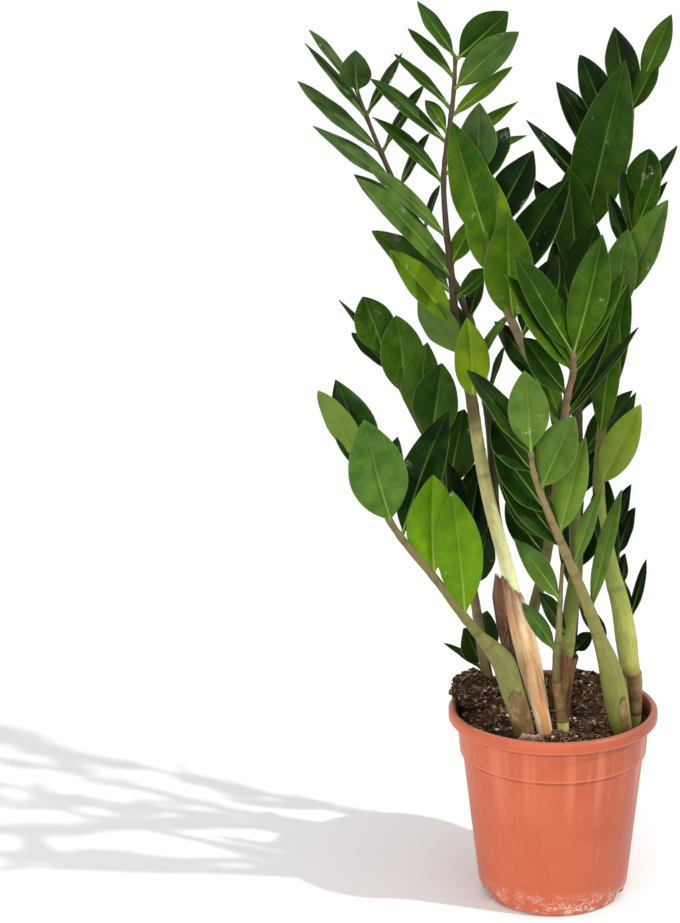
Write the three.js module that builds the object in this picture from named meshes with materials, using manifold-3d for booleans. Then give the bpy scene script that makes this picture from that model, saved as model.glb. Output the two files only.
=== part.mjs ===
// A zz plant in its nursery pot. Millimetres, +Z up, the origin at the centre of the pot's base.
// The front of the plant, where its two lowest fronds lean out over the rim, looks along -Y.
import * as THREE from "three";
import { mergeVertices } from "three/addons/utils/BufferGeometryUtils.js";
import Module from "manifold-3d";

const wasm = await Module();
wasm.setup();

// ---- Driving dimensions ----
const POT_HEIGHT = 160;
const RIM_RADIUS = 85;
const RIM_TALL = 10.5;
const COLLAR_TOP_RADIUS = 78;
const COLLAR_FOOT_RADIUS = 76;
const COLLAR_FOOT_Z = 122.5;
const STEP_IN = 2.2;
const FOOT_RADIUS = 57;
const PLATE_EDGE_RADIUS = 61.6; // the wall's outside level with the base plate
const WALL = 1.6;
const PLATE_Z = 9.4; // the underside of the base plate, which the drain notches open under
const PAD_RADIUS = 17; // the flat pad that the middle of the base stands on
const NOTCH_TALL = 8.6;
const NOTCH_SPAN = 20; // degrees of the skirt that each drain notch takes
const NOTCH_DEEP = 24;
const NOTCH_AT = [-68, 68, 180]; // degrees round from the front
const GAP = 0.3; // between pieces that touch

const SOIL_LEVEL = 150;
const STEM_FOOT_Z = 108; // how deep the stems stand in the soil
const FOOT_INWARD = 0.86; // how far their feet draw in to the middle of the pot
const BLADE = 1.0; // thickness of a leaflet
const SHEATH = 1.2; // least thickness of a dry sheath

const POT_SIDES = 40;
const SOIL_SIDES = 32;
const STEM_SIDES = 7;
const SHEATH_SIDES = 10;
const SHEATH_STEPS = 6;

// The fronds are measured as they stand before the eye. A point is x and z where its line of sight
// crosses the upright plane through the pot's axis, and y says how far behind that plane it lies.
const EYE = new THREE.Vector3(0, -1500, 737);

// Each frond is its stem from the tip down, as [x, z, y, radius], and its leaflets, as
// [height on the stem, tip x, tip z, tip's depth from the stem, width, roll in degrees].
// With no roll a leaflet faces the eye, and with a positive one its upper side turns to the stem's tip.
const FRONDS = [
  {
    name: "frond_tall_left",
    colour: 0x4f7a2a,
    seed: 11,
    stem: [
      [-73, 680, 26, 1.4], [-75, 651, 23, 1.7], [-83, 592, 16, 2], [-82, 555, 10, 2.4],
      [-78, 512, 3, 2.7], [-73, 460, -5, 3.1], [-64, 419, -10, 4.6], [-59, 382, -15, 5],
      [-50, 331, -21, 5.2], [-38, 284, -28, 5.6], [-32, 258, -32, 5.7], [-24, 222, -37, 5.4],
      [-14, 175, -43, 5.4], [-6, 133, -48, 4.6],
    ],
    leaves: [
      [680, -102, 722, 0, 20, 52], [678, -33, 713, -8, 30, 12], [656, -25, 698, -12, 25, 10],
      [665, -109, 702, 4, 17, 58], [641, -120, 683, 4, 17, 60], [636, -30, 672, 0, 22, 52],
      [622, -96, 649, -8, 15, 40], [616, -137, 667, 0, 20, 50], [603, -27, 647, 4, 23, 55],
      [592, -20, 622, 8, 17, 62], [585, -136, 638, -4, 20, 52], [543, -140, 599, -5, 18, 50],
      [520, -58, 560, 0, 25, 45], [512, -149, 591, -10, 24, 40], [499, -140, 549, 6, 30, 45],
      [494, -49, 519, 4, 22, 50], [472, -127, 534, -26, 28, 35], [448, -105, 495, 8, 33, 140],
      [411, -66, 480, -14, 28, 10], [432, -34, 484, 2, 15, 60],
    ],
  },
  {
    name: "frond_slim_left",
    colour: 0x3d6626,
    seed: 23,
    stem: [
      [-149, 658, 116, 1.3], [-142, 638, 112, 1.6], [-130, 607, 104, 2], [-113, 569, 95, 2.5],
      [-97, 544, 89, 2.8], [-67, 487, 77, 3.3], [-51, 409, 62, 4], [-47, 365, 56, 4.3],
      [-46, 325, 50, 4.6], [-36, 275, 44, 5], [-25, 232, 42, 5.4], [-14, 150, 40, 6],
    ],
    leaves: [
      [658, -183, 704, 0, 14, 58], [655, -149, 687, -14, 26, 8], [636, -188, 693, 2, 19, 60],
      [638, -113, 684, 0, 17, 55], [610, -194, 665, 0, 23, 58], [609, -98, 660, 4, 17, 62],
      [586, -184, 630, 0, 27, 55], [580, -95, 624, 4, 16, 64], [542, -152, 594, 4, 34, 48],
      [548, -86, 584, 4, 14, 66], [477, -54, 517, 2, 20, 52], [414, -38, 458, 2, 13, 66],
      [505, -112, 552, 14, 24, 50], [455, -92, 500, 16, 22, 50],
    ],
  },
  {
    name: "frond_centre_bright",
    colour: 0x557f2c,
    seed: 37,
    stem: [
      [-57, 595, -56, 1.6], [-53, 561, -51, 2.2], [-48, 530, -43, 2.7], [-41, 501, -35, 3.1],
      [-23, 459, -20, 3.5], [-9, 431, -8, 3.9], [10, 382, 6, 4.3], [17, 333, 8, 4.7],
      [19, 275, 8, 5.4], [15, 243, 8, 6.1], [11, 204, 8, 6.2], [7, 174, 8, 7.4], [7, 152, 7, 7.4],
    ],
    leaves: [
      [536, -77, 633, -28, 34, 14], [508, -51, 598, -30, 36, 6], [474, -34, 563, -34, 38, 4],
      [590, -56, 646, 8, 31, 22], [582, -34, 628, 20, 29, 40], [545, -15, 610, 26, 34, 35],
      [498, 13, 589, 30, 38, 28], [462, 4, 529, 30, 32, 35], [420, -44, 478, 8, 25, 38],
      [216, -11, 256, -20, 18, 38],
    ],
  },
  {
    name: "frond_rear_right",
    colour: 0x3f6d1f,
    seed: 41,
    stem: [
      [68, 661, 104, 1.5], [60, 640, 102, 1.9], [48, 611, 98, 2.4], [36, 580, 94, 2.8],
      [26, 552, 90, 3.2], [20, 510, 87, 3.6], [19, 430, 80, 4.3], [20, 333, 70, 4.8],
      [17, 250, 64, 5], [12, 165, 60, 5.2],
    ],
    leaves: [
      [656, 88, 708, -12, 20, 14], [637, 46, 700, 0, 29, 24], [614, 21, 680, 0, 29, 34],
      [590, 4, 661, 2, 29, 40], [573, -20, 632, 2, 19, 50], [635, 79, 676, 4, 20, 26],
      [540, 55, 676, -26, 46, 6], [505, 12, 596, -4, 34, 20], [480, 33, 553, -8, 34, 20],
      [567, 60, 640, 6, 27, 30], [440, -8, 505, 10, 28, 45], [400, 52, 468, 12, 28, 45],
      [352, 0, 412, 12, 26, 45], [458, 2, 542, -4, 34, 14],
      [202, 32, 222, 0, 15, 30], [252, 43, 218, 4, 14, 20], [305, -6, 362, 6, 34, 30],
      [330, 44, 392, 10, 30, 40], [270, 40, 330, 8, 30, 35], [519, -14, 588, 2, 28, 34],
      [250, 12, 356, -10, 26, 30], [362, 62, 422, -8, 26, 42],
    ],
  },
  {
    name: "frond_tall_right",
    colour: 0x55793a,
    seed: 53,
    stem: [
      [67, 570, 38, 1.5], [59, 532, 36, 2], [52, 486, 32, 2.7], [43, 430, 26, 3.3],
      [38, 382, 20, 4], [37, 333, 14, 5], [47, 275, 6, 6.4], [55, 243, 0, 7.8],
      [59, 218, -3, 8.8], [62, 197, -6, 8], [66, 184, -8, 5.8], [67, 163, -10, 4.9], [67, 140, -11, 4.4],
    ],
    leaves: [
      [567, 73, 609, 14, 27, 16], [560, 94, 611, 26, 20, 50], [542, 81, 594, -26, 18, 24],
      [540, 53, 593, 22, 20, 50], [525, 42, 577, 20, 20, 54], [491, 86, 570, -24, 30, 28],
      [478, 57, 548, -26, 27, 20], [404, 58, 507, -4, 22, 20], [384, 50, 474, -18, 24, 34],
      [352, 66, 420, 18, 26, 46], [342, 68, 410, -24, 27, 8], [540, 87, 584, 6, 14, 56],
      [302, 42, 352, 10, 22, 30], [262, 33, 350, 24, 22, 35],
    ],
  },
  {
    name: "frond_centre_high",
    colour: 0x5d8a33,
    seed: 61,
    stem: [
      [16, 452, -74, 1.8], [16, 436, -68, 2.3], [12, 419, -60, 2.7], [8, 390, -44, 3.2],
      [4, 350, -24, 3.6], [-4, 292, 0, 4.2], [-9, 267, 9, 4.4], [-17, 230, 14, 4.8],
      [-19, 160, 18, 5.4],
    ],
    leaves: [
      [450, 38, 544, -16, 29, 5], [450, -27, 528, -30, 28, 38], [437, -37, 514, -32, 31, 44],
      [418, -23, 464, -24, 27, 40], [433, 56, 516, 14, 24, 48], [398, 67, 471, 18, 17, 58],
      [402, 44, 468, 20, 27, 55], [440, -4, 494, 0, 24, 50], [392, -10, 440, -6, 24, 50],
      [345, -42, 400, 0, 34, 22], [297, -43, 357, -2, 34, 26], [444, 56, 507, 4, 17, 50],
      [285, -37, 331, 4, 30, 30],
    ],
  },
  {
    name: "frond_front_right",
    colour: 0x5f8a3c,
    seed: 71,
    stem: [
      [-17, 372, -116, 1.7], [-15, 357, -112, 2.2], [-2, 319, -101, 2.8], [11, 288, -92, 3.6],
      [20, 266, -84, 3.9], [29, 243, -75, 4.6], [37, 220, -66, 5.2], [45, 197, -55, 8.2],
      [50, 174, -45, 10], [54, 151, -38, 9.2], [57, 134, -35, 7.6],
    ],
    leaves: [
      [371, -22, 438, -8, 30, 5], [370, -67, 439, 0, 28, 48], [340, 17, 401, -8, 31, 14],
      [302, 26, 385, -10, 23, 18], [352, -48, 398, 8, 36, 36], [318, -47, 381, 2, 36, 30],
      [290, -45, 361, 8, 34, 40], [275, 38, 342, -6, 14, 30], [239, 55, 342, -6, 15, 35],
    ],
  },
  {
    name: "frond_front_left",
    colour: 0x6b9a2e,
    seed: 83,
    stem: [
      [-158, 372, -122, 1.7], [-144, 345, -116, 2.1], [-129, 313, -108, 2.5], [-116, 294, -103, 2.8],
      [-93, 265, -94, 3], [-77, 242, -86, 3.3], [-59, 219, -75, 4.2], [-49, 208, -69, 7],
      [-40, 196, -63, 9.4], [-33, 173, -56, 9.2], [-26, 149, -50, 8.6], [-22, 131, -48, 7.6],
    ],
    leaves: [
      [313, -150, 400, -36, 43, 4], [364, -185, 423, -4, 26, 135], [348, -171, 432, 6, 33, 28],
      [317, -123, 385, 8, 30, 40], [301, -82, 407, 38, 33, 30], [268, -95, 354, -4, 40, 4],
      [233, -80, 341, -18, 35, 4],
    ],
  },
  {
    name: "frond_mid_left",
    colour: 0x3f701f,
    seed: 97,
    stem: [
      [-136, 458, 40, 1.5], [-118, 421, 38, 1.9], [-112, 408, 37, 2.1], [-97, 377, 35, 2.6],
      [-77, 316, 32, 3.1], [-63, 252, 28, 3.8], [-58, 215, 26, 4.4], [-50, 165, 25, 5.2],
    ],
    leaves: [
      [452, -167, 495, -6, 12, 62], [449, -148, 498, 2, 33, 18], [436, -157, 470, 5, 20, 40],
      [416, -122, 483, -10, 36, 5], [393, -98, 461, -6, 34, 18], [376, -86, 445, -8, 38, 16],
      [340, -70, 407, 2, 38, 24], [296, -84, 363, -6, 29, 50], [279, -56, 368, 4, 34, 24],
      [258, -50, 312, 6, 30, 34],
    ],
  },
  {
    name: "frond_small_front",
    colour: 0x5d7d45,
    seed: 101,
    stem: [
      [8, 280, -64, 1.4], [6, 243, -61, 2.1], [5, 220, -57, 2.6], [3, 197, -53, 2.9],
      [4, 173, -47, 3.1], [8, 150, -44, 4.5], [9, 133, -42, 4.9],
    ],
    leaves: [
      [249, -31, 301, -8, 19, 18], [204, -25, 247, -8, 14, 18],
    ],
  },
  {
    name: "frond_small_right",
    colour: 0x27511f,
    seed: 113,
    stem: [
      [47, 308, 66, 1.5], [50, 294, 63, 1.8], [55, 270, 58, 2.1], [62, 232, 50, 2.7],
      [60, 196, 44, 3.1], [57, 158, 38, 3.6],
    ],
    leaves: [
      [303, 62, 346, 2, 18, 45], [286, 65, 327, -4, 18, 45], [262, 58, 289, 2, 13, 45],
      [232, 75, 284, 0, 12, 48], [229, 55, 270, -2, 13, 45],
    ],
  },
  {
    name: "sprout_left",
    colour: 0x2f5f24,
    seed: 127,
    stem: [
      [-58, 200, 55, 1.6], [-55, 186, 51, 2.4], [-52, 164, 46, 3.4],
    ],
    leaves: [
      [197, -53, 240, -4, 28, 24], [192, -72, 225, -8, 25, 18], [189, -88, 212, -8, 11, 58],
    ],
  },
];

// Share of a leaflet's length against share of its width.
const OUTLINE = [[0.16, 0.56], [0.48, 1], [0.8, 0.62]];
const FOLD = 0.19; // how deep the blade folds along its midrib, as a share of its half width
const ARCH = 0.02; // how far the blade arches back, as a share of its length
const DEPTH_DRAW = 24; // how widely the tips' depths are drawn
const ROLL_DRAW = 10; // how widely the rolls are drawn, in degrees
const LEAST_ARCH = -0.3; // the least draw of a leaflet's arch
const DEPTH_STREAM = 9; // where the draws for the depths start
const ARCH_STREAM = 50; // where the draws for the arches start

// ---- Solids ----
function solidOf(geometry) {
  geometry.deleteAttribute("normal");
  geometry.deleteAttribute("uv");
  const merged = mergeVertices(geometry, 1e-4);
  return new wasm.Manifold(new wasm.Mesh({
    numProp: 3,
    vertProperties: new Float32Array(merged.attributes.position.array),
    triVerts: new Uint32Array(merged.index.array),
  }));
}

function geometryOf(solid) {
  const mesh = solid.getMesh();
  const geometry = new THREE.BufferGeometry();
  geometry.setAttribute("position", new THREE.BufferAttribute(mesh.vertProperties, 3));
  geometry.setIndex(new THREE.BufferAttribute(mesh.triVerts, 1));
  return geometry;
}

function geometryFrom(points, triangles) {
  const geometry = new THREE.BufferGeometry();
  geometry.setFromPoints(points);
  geometry.setIndex(triangles);
  return geometry;
}

// A closed body through rings of equal count that turn anticlockwise seen from the last ring.
function loft(rings) {
  const count = rings[0].length;
  const triangles = [];
  for (let i = 0; i + 1 < rings.length; i++) {
    for (let k = 0; k < count; k++) {
      const a = i * count + k;
      const b = i * count + (k + 1) % count;
      triangles.push(a, b, b + count, a, b + count, a + count);
    }
  }
  const last = (rings.length - 1) * count;
  for (let k = 1; k + 1 < count; k++) {
    triangles.push(0, k + 1, k, last, last + k, last + k + 1);
  }
  return solidOf(geometryFrom(rings.flat(), triangles));
}

// A repeatable draw from 0 to 1 for the leaflet `index` of the frond `seed`.
function draw(index, seed) {
  const value = Math.sin(index * 12.9898 + seed * 78.233) * 43758.5453;
  return value - Math.floor(value);
}

// ---- Stems ----
function alongSight(x, z, y) {
  const target = new THREE.Vector3(x, 0, z);
  return target.sub(EYE).multiplyScalar(1 + y / -EYE.y).add(EYE);
}

// A frond's stem as a curve with a radius at each point, carried on down into the soil.
class Stem {
  constructor(rows) {
    const points = rows.map(([x, z, y]) => alongSight(x, z, y));
    this.radii = rows.map((row) => row[3]);
    const low = points[points.length - 1];
    points.push(new THREE.Vector3(low.x * FOOT_INWARD, low.y * FOOT_INWARD, STEM_FOOT_Z));
    this.radii.push(this.radii[this.radii.length - 1]);
    this.curve = new THREE.CatmullRomCurve3(points);
    this.last = points.length - 1;
  }

  radius(t) {
    const place = Math.min(t * this.last, this.last - 1e-6);
    const i = Math.floor(place);
    return this.radii[i] + (this.radii[i + 1] - this.radii[i]) * (place - i);
  }

  // The share of the curve at which it passes a measured height.
  atHeight(height) {
    let high = 0;
    let low = 1;
    for (let step = 0; step < 24; step++) {
      const middle = (high + low) / 2;
      const point = this.curve.getPoint(middle);
      const seen = EYE.z + (point.z - EYE.z) / (1 + point.y / -EYE.y);
      if (seen > height) high = middle;
      else low = middle;
    }
    return (high + low) / 2;
  }

  ring(t, grow, sides) {
    const centre = this.curve.getPoint(t);
    const along = this.curve.getTangent(t);
    const across = new THREE.Vector3(0, 1, 0).cross(along).normalize();
    const out = along.clone().cross(across);
    return Array.from({ length: sides }, (_, k) => {
      const turn = 2 * Math.PI * k / sides;
      return centre.clone()
        .addScaledVector(across, (this.radius(t) + grow) * Math.cos(turn))
        .addScaledVector(out, (this.radius(t) + grow) * Math.sin(turn));
    });
  }

  body(grow = 0) {
    return loft(Array.from({ length: this.last + 1 }, (_, i) =>
      this.ring(i / this.last, grow, STEM_SIDES)));
  }
}

// ---- Leaflets ----
// The frame of one leaflet: its root inside the stem, its axes and its size.
function leafFrame(stem, row, index, seed) {
  const [height, tipX, tipZ, depth, width, roll] = row;
  const root = stem.curve.getPoint(stem.atHeight(height));
  const further = depth + DEPTH_DRAW * (draw(index + DEPTH_STREAM, seed) - 0.5);
  const tip = alongSight(tipX, tipZ, root.y + further);
  const along = tip.clone().sub(root);
  const length = along.length();
  along.normalize();
  const toEye = EYE.clone().sub(root).normalize();
  const facing = toEye.addScaledVector(along, -toEye.dot(along)).normalize();
  const side = tip.x < root.x ? 1 : -1;
  const upward = along.clone().cross(facing).multiplyScalar(side);
  const turn = THREE.MathUtils.degToRad(roll + ROLL_DRAW * (draw(index, seed) - 0.5));
  const normal = facing.multiplyScalar(Math.cos(turn)).addScaledVector(upward, Math.sin(turn));
  const across = along.clone().cross(normal);
  const arch = ARCH * (LEAST_ARCH + draw(index + ARCH_STREAM, seed));
  return { root, along, across, normal, length, half: width / 2, arch };
}

// A blade three points wide, on both faces split into triangles alike.
function leaflet(frame) {
  const { root, along, across, normal, length, half, arch } = frame;
  const place = (t, sideways, up) => root.clone()
    .addScaledVector(along, t * length)
    .addScaledVector(across, sideways)
    .addScaledVector(normal, up + 4 * arch * length * t * (1 - t));
  const points = [];
  const row = (t, share) => {
    const fold = FOLD * half * share;
    const marks = share === 0
      ? [place(t, 0, 0)]
      : [place(t, -half * share, fold), place(t, 0, 0), place(t, half * share, fold)];
    const rows = [BLADE / 2, -BLADE / 2].map((lift) => marks.map((mark) =>
      points.push(mark.clone().addScaledVector(normal, lift)) - 1));
    return rows.map((ids) => (ids.length === 1 ? [ids[0], ids[0], ids[0]] : ids));
  };
  const rows = [[0, 0], ...OUTLINE, [1, 0]].map(([t, share]) => row(t, share));
  const triangles = [];
  const face = (a, b, c) => {
    if (a !== b && b !== c && c !== a) triangles.push(a, b, c);
  };
  for (let i = 0; i + 1 < rows.length; i++) {
    const [top, under] = rows[i];
    const [topNext, underNext] = rows[i + 1];
    for (let k = 0; k < 2; k++) {
      face(top[k], top[k + 1], topNext[k + 1]);
      face(top[k], topNext[k + 1], topNext[k]);
      face(under[k], underNext[k + 1], under[k + 1]);
      face(under[k], underNext[k], underNext[k + 1]);
    }
    face(top[0], topNext[0], underNext[0]);
    face(top[0], underNext[0], under[0]);
    face(top[2], underNext[2], topNext[2]);
    face(top[2], under[2], underNext[2]);
  }
  return solidOf(geometryFrom(points, triangles));
}

const stems = new Map(FRONDS.map((frond) => [frond.name, new Stem(frond.stem)]));

function frondBody({ name, leaves, seed }) {
  const stem = stems.get(name);
  return leaves.reduce(
    (body, row, index) => body.add(leaflet(leafFrame(stem, row, index, seed))),
    stem.body(),
  );
}

// ---- Pot ----
const wallInside = (radius) => radius - WALL;

function potProfile() {
  const collarTop = POT_HEIGHT - RIM_TALL;
  const wallTop = COLLAR_FOOT_RADIUS - STEP_IN;
  const seamZ = COLLAR_FOOT_Z - 1.6;
  const wallFoot = PLATE_EDGE_RADIUS;
  return [
    [0, 0], [PAD_RADIUS, 0], [PAD_RADIUS + 1.5, PLATE_Z], [FOOT_RADIUS - 2, PLATE_Z],
    [FOOT_RADIUS - 2.6, 0], [FOOT_RADIUS - 0.6, 0], [FOOT_RADIUS + 1.8, 1.6], [wallFoot, PLATE_Z],
    [wallTop, seamZ], [COLLAR_FOOT_RADIUS, COLLAR_FOOT_Z], [COLLAR_TOP_RADIUS, collarTop - 1],
    [RIM_RADIUS - 1.4, collarTop], [RIM_RADIUS, collarTop + 1.6], [RIM_RADIUS, POT_HEIGHT - 2.6],
    [RIM_RADIUS - 1.2, POT_HEIGHT - 0.7], [RIM_RADIUS - 3, POT_HEIGHT],
    [RIM_RADIUS - 5, POT_HEIGHT - 0.6], [wallInside(COLLAR_TOP_RADIUS) + 2.4, POT_HEIGHT - 3.4],
    [wallInside(COLLAR_TOP_RADIUS), collarTop - 2], [wallInside(COLLAR_FOOT_RADIUS), COLLAR_FOOT_Z + 1],
    [wallInside(wallTop), seamZ - 0.6], [wallInside(wallFoot), PLATE_Z + 5],
    [wallInside(wallFoot) - 3, PLATE_Z + WALL], [PAD_RADIUS, PLATE_Z + WALL], [PAD_RADIUS - 2, WALL],
    [0, WALL],
  ];
}

function latheSolid(profile, sides) {
  const points = profile.map(([r, z]) => new THREE.Vector2(r, z));
  const geometry = new THREE.LatheGeometry(points, sides);
  geometry.rotateX(Math.PI / 2);
  return solidOf(geometry);
}

function notchCutter(degrees) {
  const width = 2 * FOOT_RADIUS * Math.sin(THREE.MathUtils.degToRad(NOTCH_SPAN / 2));
  const cutter = new THREE.BoxGeometry(width, NOTCH_DEEP, 2 * NOTCH_TALL);
  cutter.translate(0, -FOOT_RADIUS, 0);
  cutter.rotateZ(THREE.MathUtils.degToRad(degrees));
  return solidOf(cutter);
}

function potBody() {
  return NOTCH_AT.reduce(
    (body, degrees) => body.subtract(notchCutter(degrees)),
    latheSolid(potProfile(), POT_SIDES),
  );
}

// ---- Dry sheaths ----
// A sheath wraps a stem from a height down into the soil. Its edge is highest towards the angle `high`.
function sheathOuter({ frond, top, foot, ragged, bulge, flare, high, slant }, grow = 0) {
  const stem = stems.get(frond);
  const from = stem.atHeight(top);
  const to = stem.atHeight(foot);
  const rings = [];
  for (let i = 0; i <= SHEATH_STEPS; i++) {
    const share = i / SHEATH_STEPS;
    const t = from + (to - from) * share;
    const wide = SHEATH + bulge * Math.sin(Math.PI * share ** 0.8) ** 2 + flare * (1 - share) ** 3;
    const ring = stem.ring(t, wide + grow, SHEATH_SIDES);
    const centre = stem.curve.getPoint(t);
    for (const point of ring) {
      const turn = Math.atan2(point.y - centre.y, point.x - centre.x);
      if (i === 0) point.z += slant * Math.cos(turn - high) + ragged * Math.sin(3 * turn);
    }
    rings.push(ring);
  }
  return loft(rings);
}

const SHEATHS = [
  {
    name: "dry_sheath_tan", colour: 0xd8b483, frond: "frond_tall_left",
    top: 262, foot: 128, ragged: 1.5, bulge: 2.6, flare: 0.8, high: Math.PI, slant: 9,
  },
  {
    name: "dry_sheath_torn", colour: 0x6b4a2c, frond: "frond_centre_bright",
    top: 206, foot: 146, ragged: 2, bulge: 0.6, flare: 2.6, high: Math.PI, slant: 5,
  },
];

// The dark flap that has come away from the tan sheath is one curved blade that stands in the soil.
const FLAP = [
  [-27, 136, -26, 5], [-29, 172, -24, 6], [-32, 200, -22, 8], [-36, 222, -20, 9], [-40, 250, -17, 9],
  [-43, 272, -14, 3],
];

function flapBody(grow = 0) {
  const rings = FLAP.map(([x, z, y, half]) => {
    const centre = alongSight(x, z, y);
    const turns = [-1, -0.5, 0, 0.5, 1];
    const arc = (lift) => turns.map((turn) => new THREE.Vector3(
      centre.x + (half + grow) * turn,
      centre.y + half * 0.7 * turn * turn + lift,
      centre.z,
    ));
    return [...arc(SHEATH / 2 + grow).reverse(), ...arc(-SHEATH / 2 - grow)];
  });
  return loft(rings);
}

// ---- Soil ----
const MOUND = { x: -65, y: 20, radius: 20, deep: 1.2, height: 17, z: 163 };
const EDGE_DROP = 5; // how much lower the soil lies against the wall
const HEAPS = [
  { x: -52, y: 38, spread: 30, rise: 15 }, { x: 30, y: 60, spread: 30, rise: 19 },
  { x: 12, y: -62, spread: 30, rise: 6 }, { x: 76, y: 12, spread: 20, rise: -14 },
  { x: -22, y: 62, spread: 26, rise: 8 },
];

function soilHeight(x, y) {
  const lumps = 1.1 * Math.sin(x / 7 + 1) * Math.cos(y / 9) + 0.7 * Math.sin((x + y) / 4.3);
  const edge = THREE.MathUtils.smoothstep(Math.hypot(x, y), 60, 76);
  return HEAPS.reduce((height, { x: hx, y: hy, spread, rise }) =>
    height + rise * Math.exp(-((x - hx) ** 2 + (y - hy) ** 2) / spread ** 2),
  SOIL_LEVEL + lumps - EDGE_DROP * edge);
}

// The inside of the pot, a little smaller, with the heaped surface on top.
function soilBed() {
  const rings = [];
  const circle = (radius, z) => Array.from({ length: SOIL_SIDES }, (_, k) => {
    const turn = 2 * Math.PI * k / SOIL_SIDES;
    const x = radius * Math.cos(turn);
    const y = radius * Math.sin(turn);
    return new THREE.Vector3(x, y, z ?? soilHeight(x, y));
  });
  const wallFoot = wallInside(PLATE_EDGE_RADIUS) - GAP;
  const edge = wallInside(COLLAR_TOP_RADIUS) - 1;
  rings.push(circle(PAD_RADIUS - 2 - GAP, WALL + GAP), circle(PAD_RADIUS - GAP, PLATE_Z + WALL + GAP));
  rings.push(circle(wallFoot - 3, PLATE_Z + WALL + GAP), circle(wallFoot - GAP, PLATE_Z + 5));
  rings.push(circle(wallInside(COLLAR_FOOT_RADIUS - STEP_IN) - 2 * GAP, COLLAR_FOOT_Z - 3));
  rings.push(circle(wallInside(COLLAR_FOOT_RADIUS) - 2 * GAP, COLLAR_FOOT_Z + 2));
  for (const share of [1, 0.86, 0.7, 0.52, 0.34, 0.16]) rings.push(circle(edge * share));
  return loft(rings);
}

function moundBody() {
  const lump = new THREE.IcosahedronGeometry(1, 2);
  const place = lump.attributes.position;
  for (let i = 0; i < place.count; i++) {
    const point = new THREE.Vector3().fromBufferAttribute(place, i);
    const coarse = 0.07 * Math.sin(9 * point.x + 2) * Math.sin(8 * point.y);
    const rough = 1 + coarse + 0.05 * Math.sin(13 * point.z);
    place.setXYZ(
      i,
      MOUND.x + point.x * MOUND.radius * rough,
      MOUND.y + point.y * MOUND.radius * MOUND.deep * rough,
      MOUND.z + point.z * MOUND.height * rough,
    );
  }
  return solidOf(lump);
}

// The space that the rim and the wall take, with the gap round it.
function rimSpace() {
  const low = [wallInside(COLLAR_FOOT_RADIUS) - GAP, COLLAR_FOOT_Z + 1];
  const inner = wallInside(COLLAR_TOP_RADIUS) - GAP;
  const outer = RIM_RADIUS + 6;
  const top = POT_HEIGHT + GAP;
  return latheSolid([
    low, [outer, low[1]], [outer, POT_HEIGHT - 2], [RIM_RADIUS + GAP, POT_HEIGHT - 2],
    [RIM_RADIUS - 2.6, top + 0.3], [RIM_RADIUS - 5.4, top - 0.4], [inner + 2, POT_HEIGHT - 3.4],
    [inner, POT_HEIGHT - RIM_TALL - 2], low,
  ], POT_SIDES);
}

function soilBody() {
  const heaped = soilBed().add(moundBody()).subtract(rimSpace());
  const holes = [...stems.values()].map((stem) => stem.body(GAP));
  holes.push(...SHEATHS.map((sheath) => sheathOuter(sheath, GAP)), flapBody(GAP));
  return holes.reduce((soil, hole) => soil.subtract(hole), heaped);
}

// ---- The plant in its pot ----
const plant = new THREE.Group();

function addPiece(name, body, colour, roughness) {
  const material = new THREE.MeshStandardMaterial({ color: colour, roughness, metalness: 0 });
  const mesh = new THREE.Mesh(geometryOf(body), material);
  mesh.name = name;
  plant.add(mesh);
}

addPiece("pot", potBody(), 0xd0684a, 0.45);
addPiece("soil", soilBody(), 0x3c281e, 0.95);
for (const frond of FRONDS) addPiece(frond.name, frondBody(frond), frond.colour, 0.35);
for (const sheath of SHEATHS) {
  const body = sheathOuter(sheath).subtract(stems.get(sheath.frond).body(GAP));
  addPiece(sheath.name, body, sheath.colour, 0.8);
}
addPiece("dry_flap_dark", flapBody(), 0x4a3120, 0.85);

export default plant;
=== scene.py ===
"""The looks of a zz plant in its nursery pot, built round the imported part.

Lengths in the tables and in the shapes are millimetres, and a mesh is scaled to metres when it is made.
Lengths in the finishes are metres.
"""
import math

import bmesh
import bpy
import numpy as np
from mathutils import Matrix, Vector, noise


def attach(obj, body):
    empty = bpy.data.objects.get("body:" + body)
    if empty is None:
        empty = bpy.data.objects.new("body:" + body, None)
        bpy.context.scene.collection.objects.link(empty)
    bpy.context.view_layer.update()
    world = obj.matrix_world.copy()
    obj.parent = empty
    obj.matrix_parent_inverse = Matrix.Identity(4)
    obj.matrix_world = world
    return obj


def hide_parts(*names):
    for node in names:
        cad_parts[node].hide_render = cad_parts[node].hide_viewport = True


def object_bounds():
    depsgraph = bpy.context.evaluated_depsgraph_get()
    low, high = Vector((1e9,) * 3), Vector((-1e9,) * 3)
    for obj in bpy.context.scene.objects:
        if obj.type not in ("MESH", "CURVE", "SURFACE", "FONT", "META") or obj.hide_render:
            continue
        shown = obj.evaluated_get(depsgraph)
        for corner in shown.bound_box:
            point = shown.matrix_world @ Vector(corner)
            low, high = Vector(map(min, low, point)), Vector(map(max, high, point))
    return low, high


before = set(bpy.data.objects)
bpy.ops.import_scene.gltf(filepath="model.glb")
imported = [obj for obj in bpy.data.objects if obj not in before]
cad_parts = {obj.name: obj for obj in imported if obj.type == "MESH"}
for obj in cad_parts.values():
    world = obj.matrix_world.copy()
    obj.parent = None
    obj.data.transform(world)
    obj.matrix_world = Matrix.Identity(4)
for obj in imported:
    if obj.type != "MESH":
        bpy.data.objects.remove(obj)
cad_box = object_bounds()

MM = 0.001
BOX_LOW, BOX_HIGH = (np.array(corner) / MM for corner in cad_box)

# ---- Where the photograph was taken from ----
EYE = np.array([0.0, -1500.0, 737.0])
LOOK_DOWN = 13.94  # degrees
LOOK_LEFT = 6.254
LENS = 75.6
SENSOR_WIDE = 36.0

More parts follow.
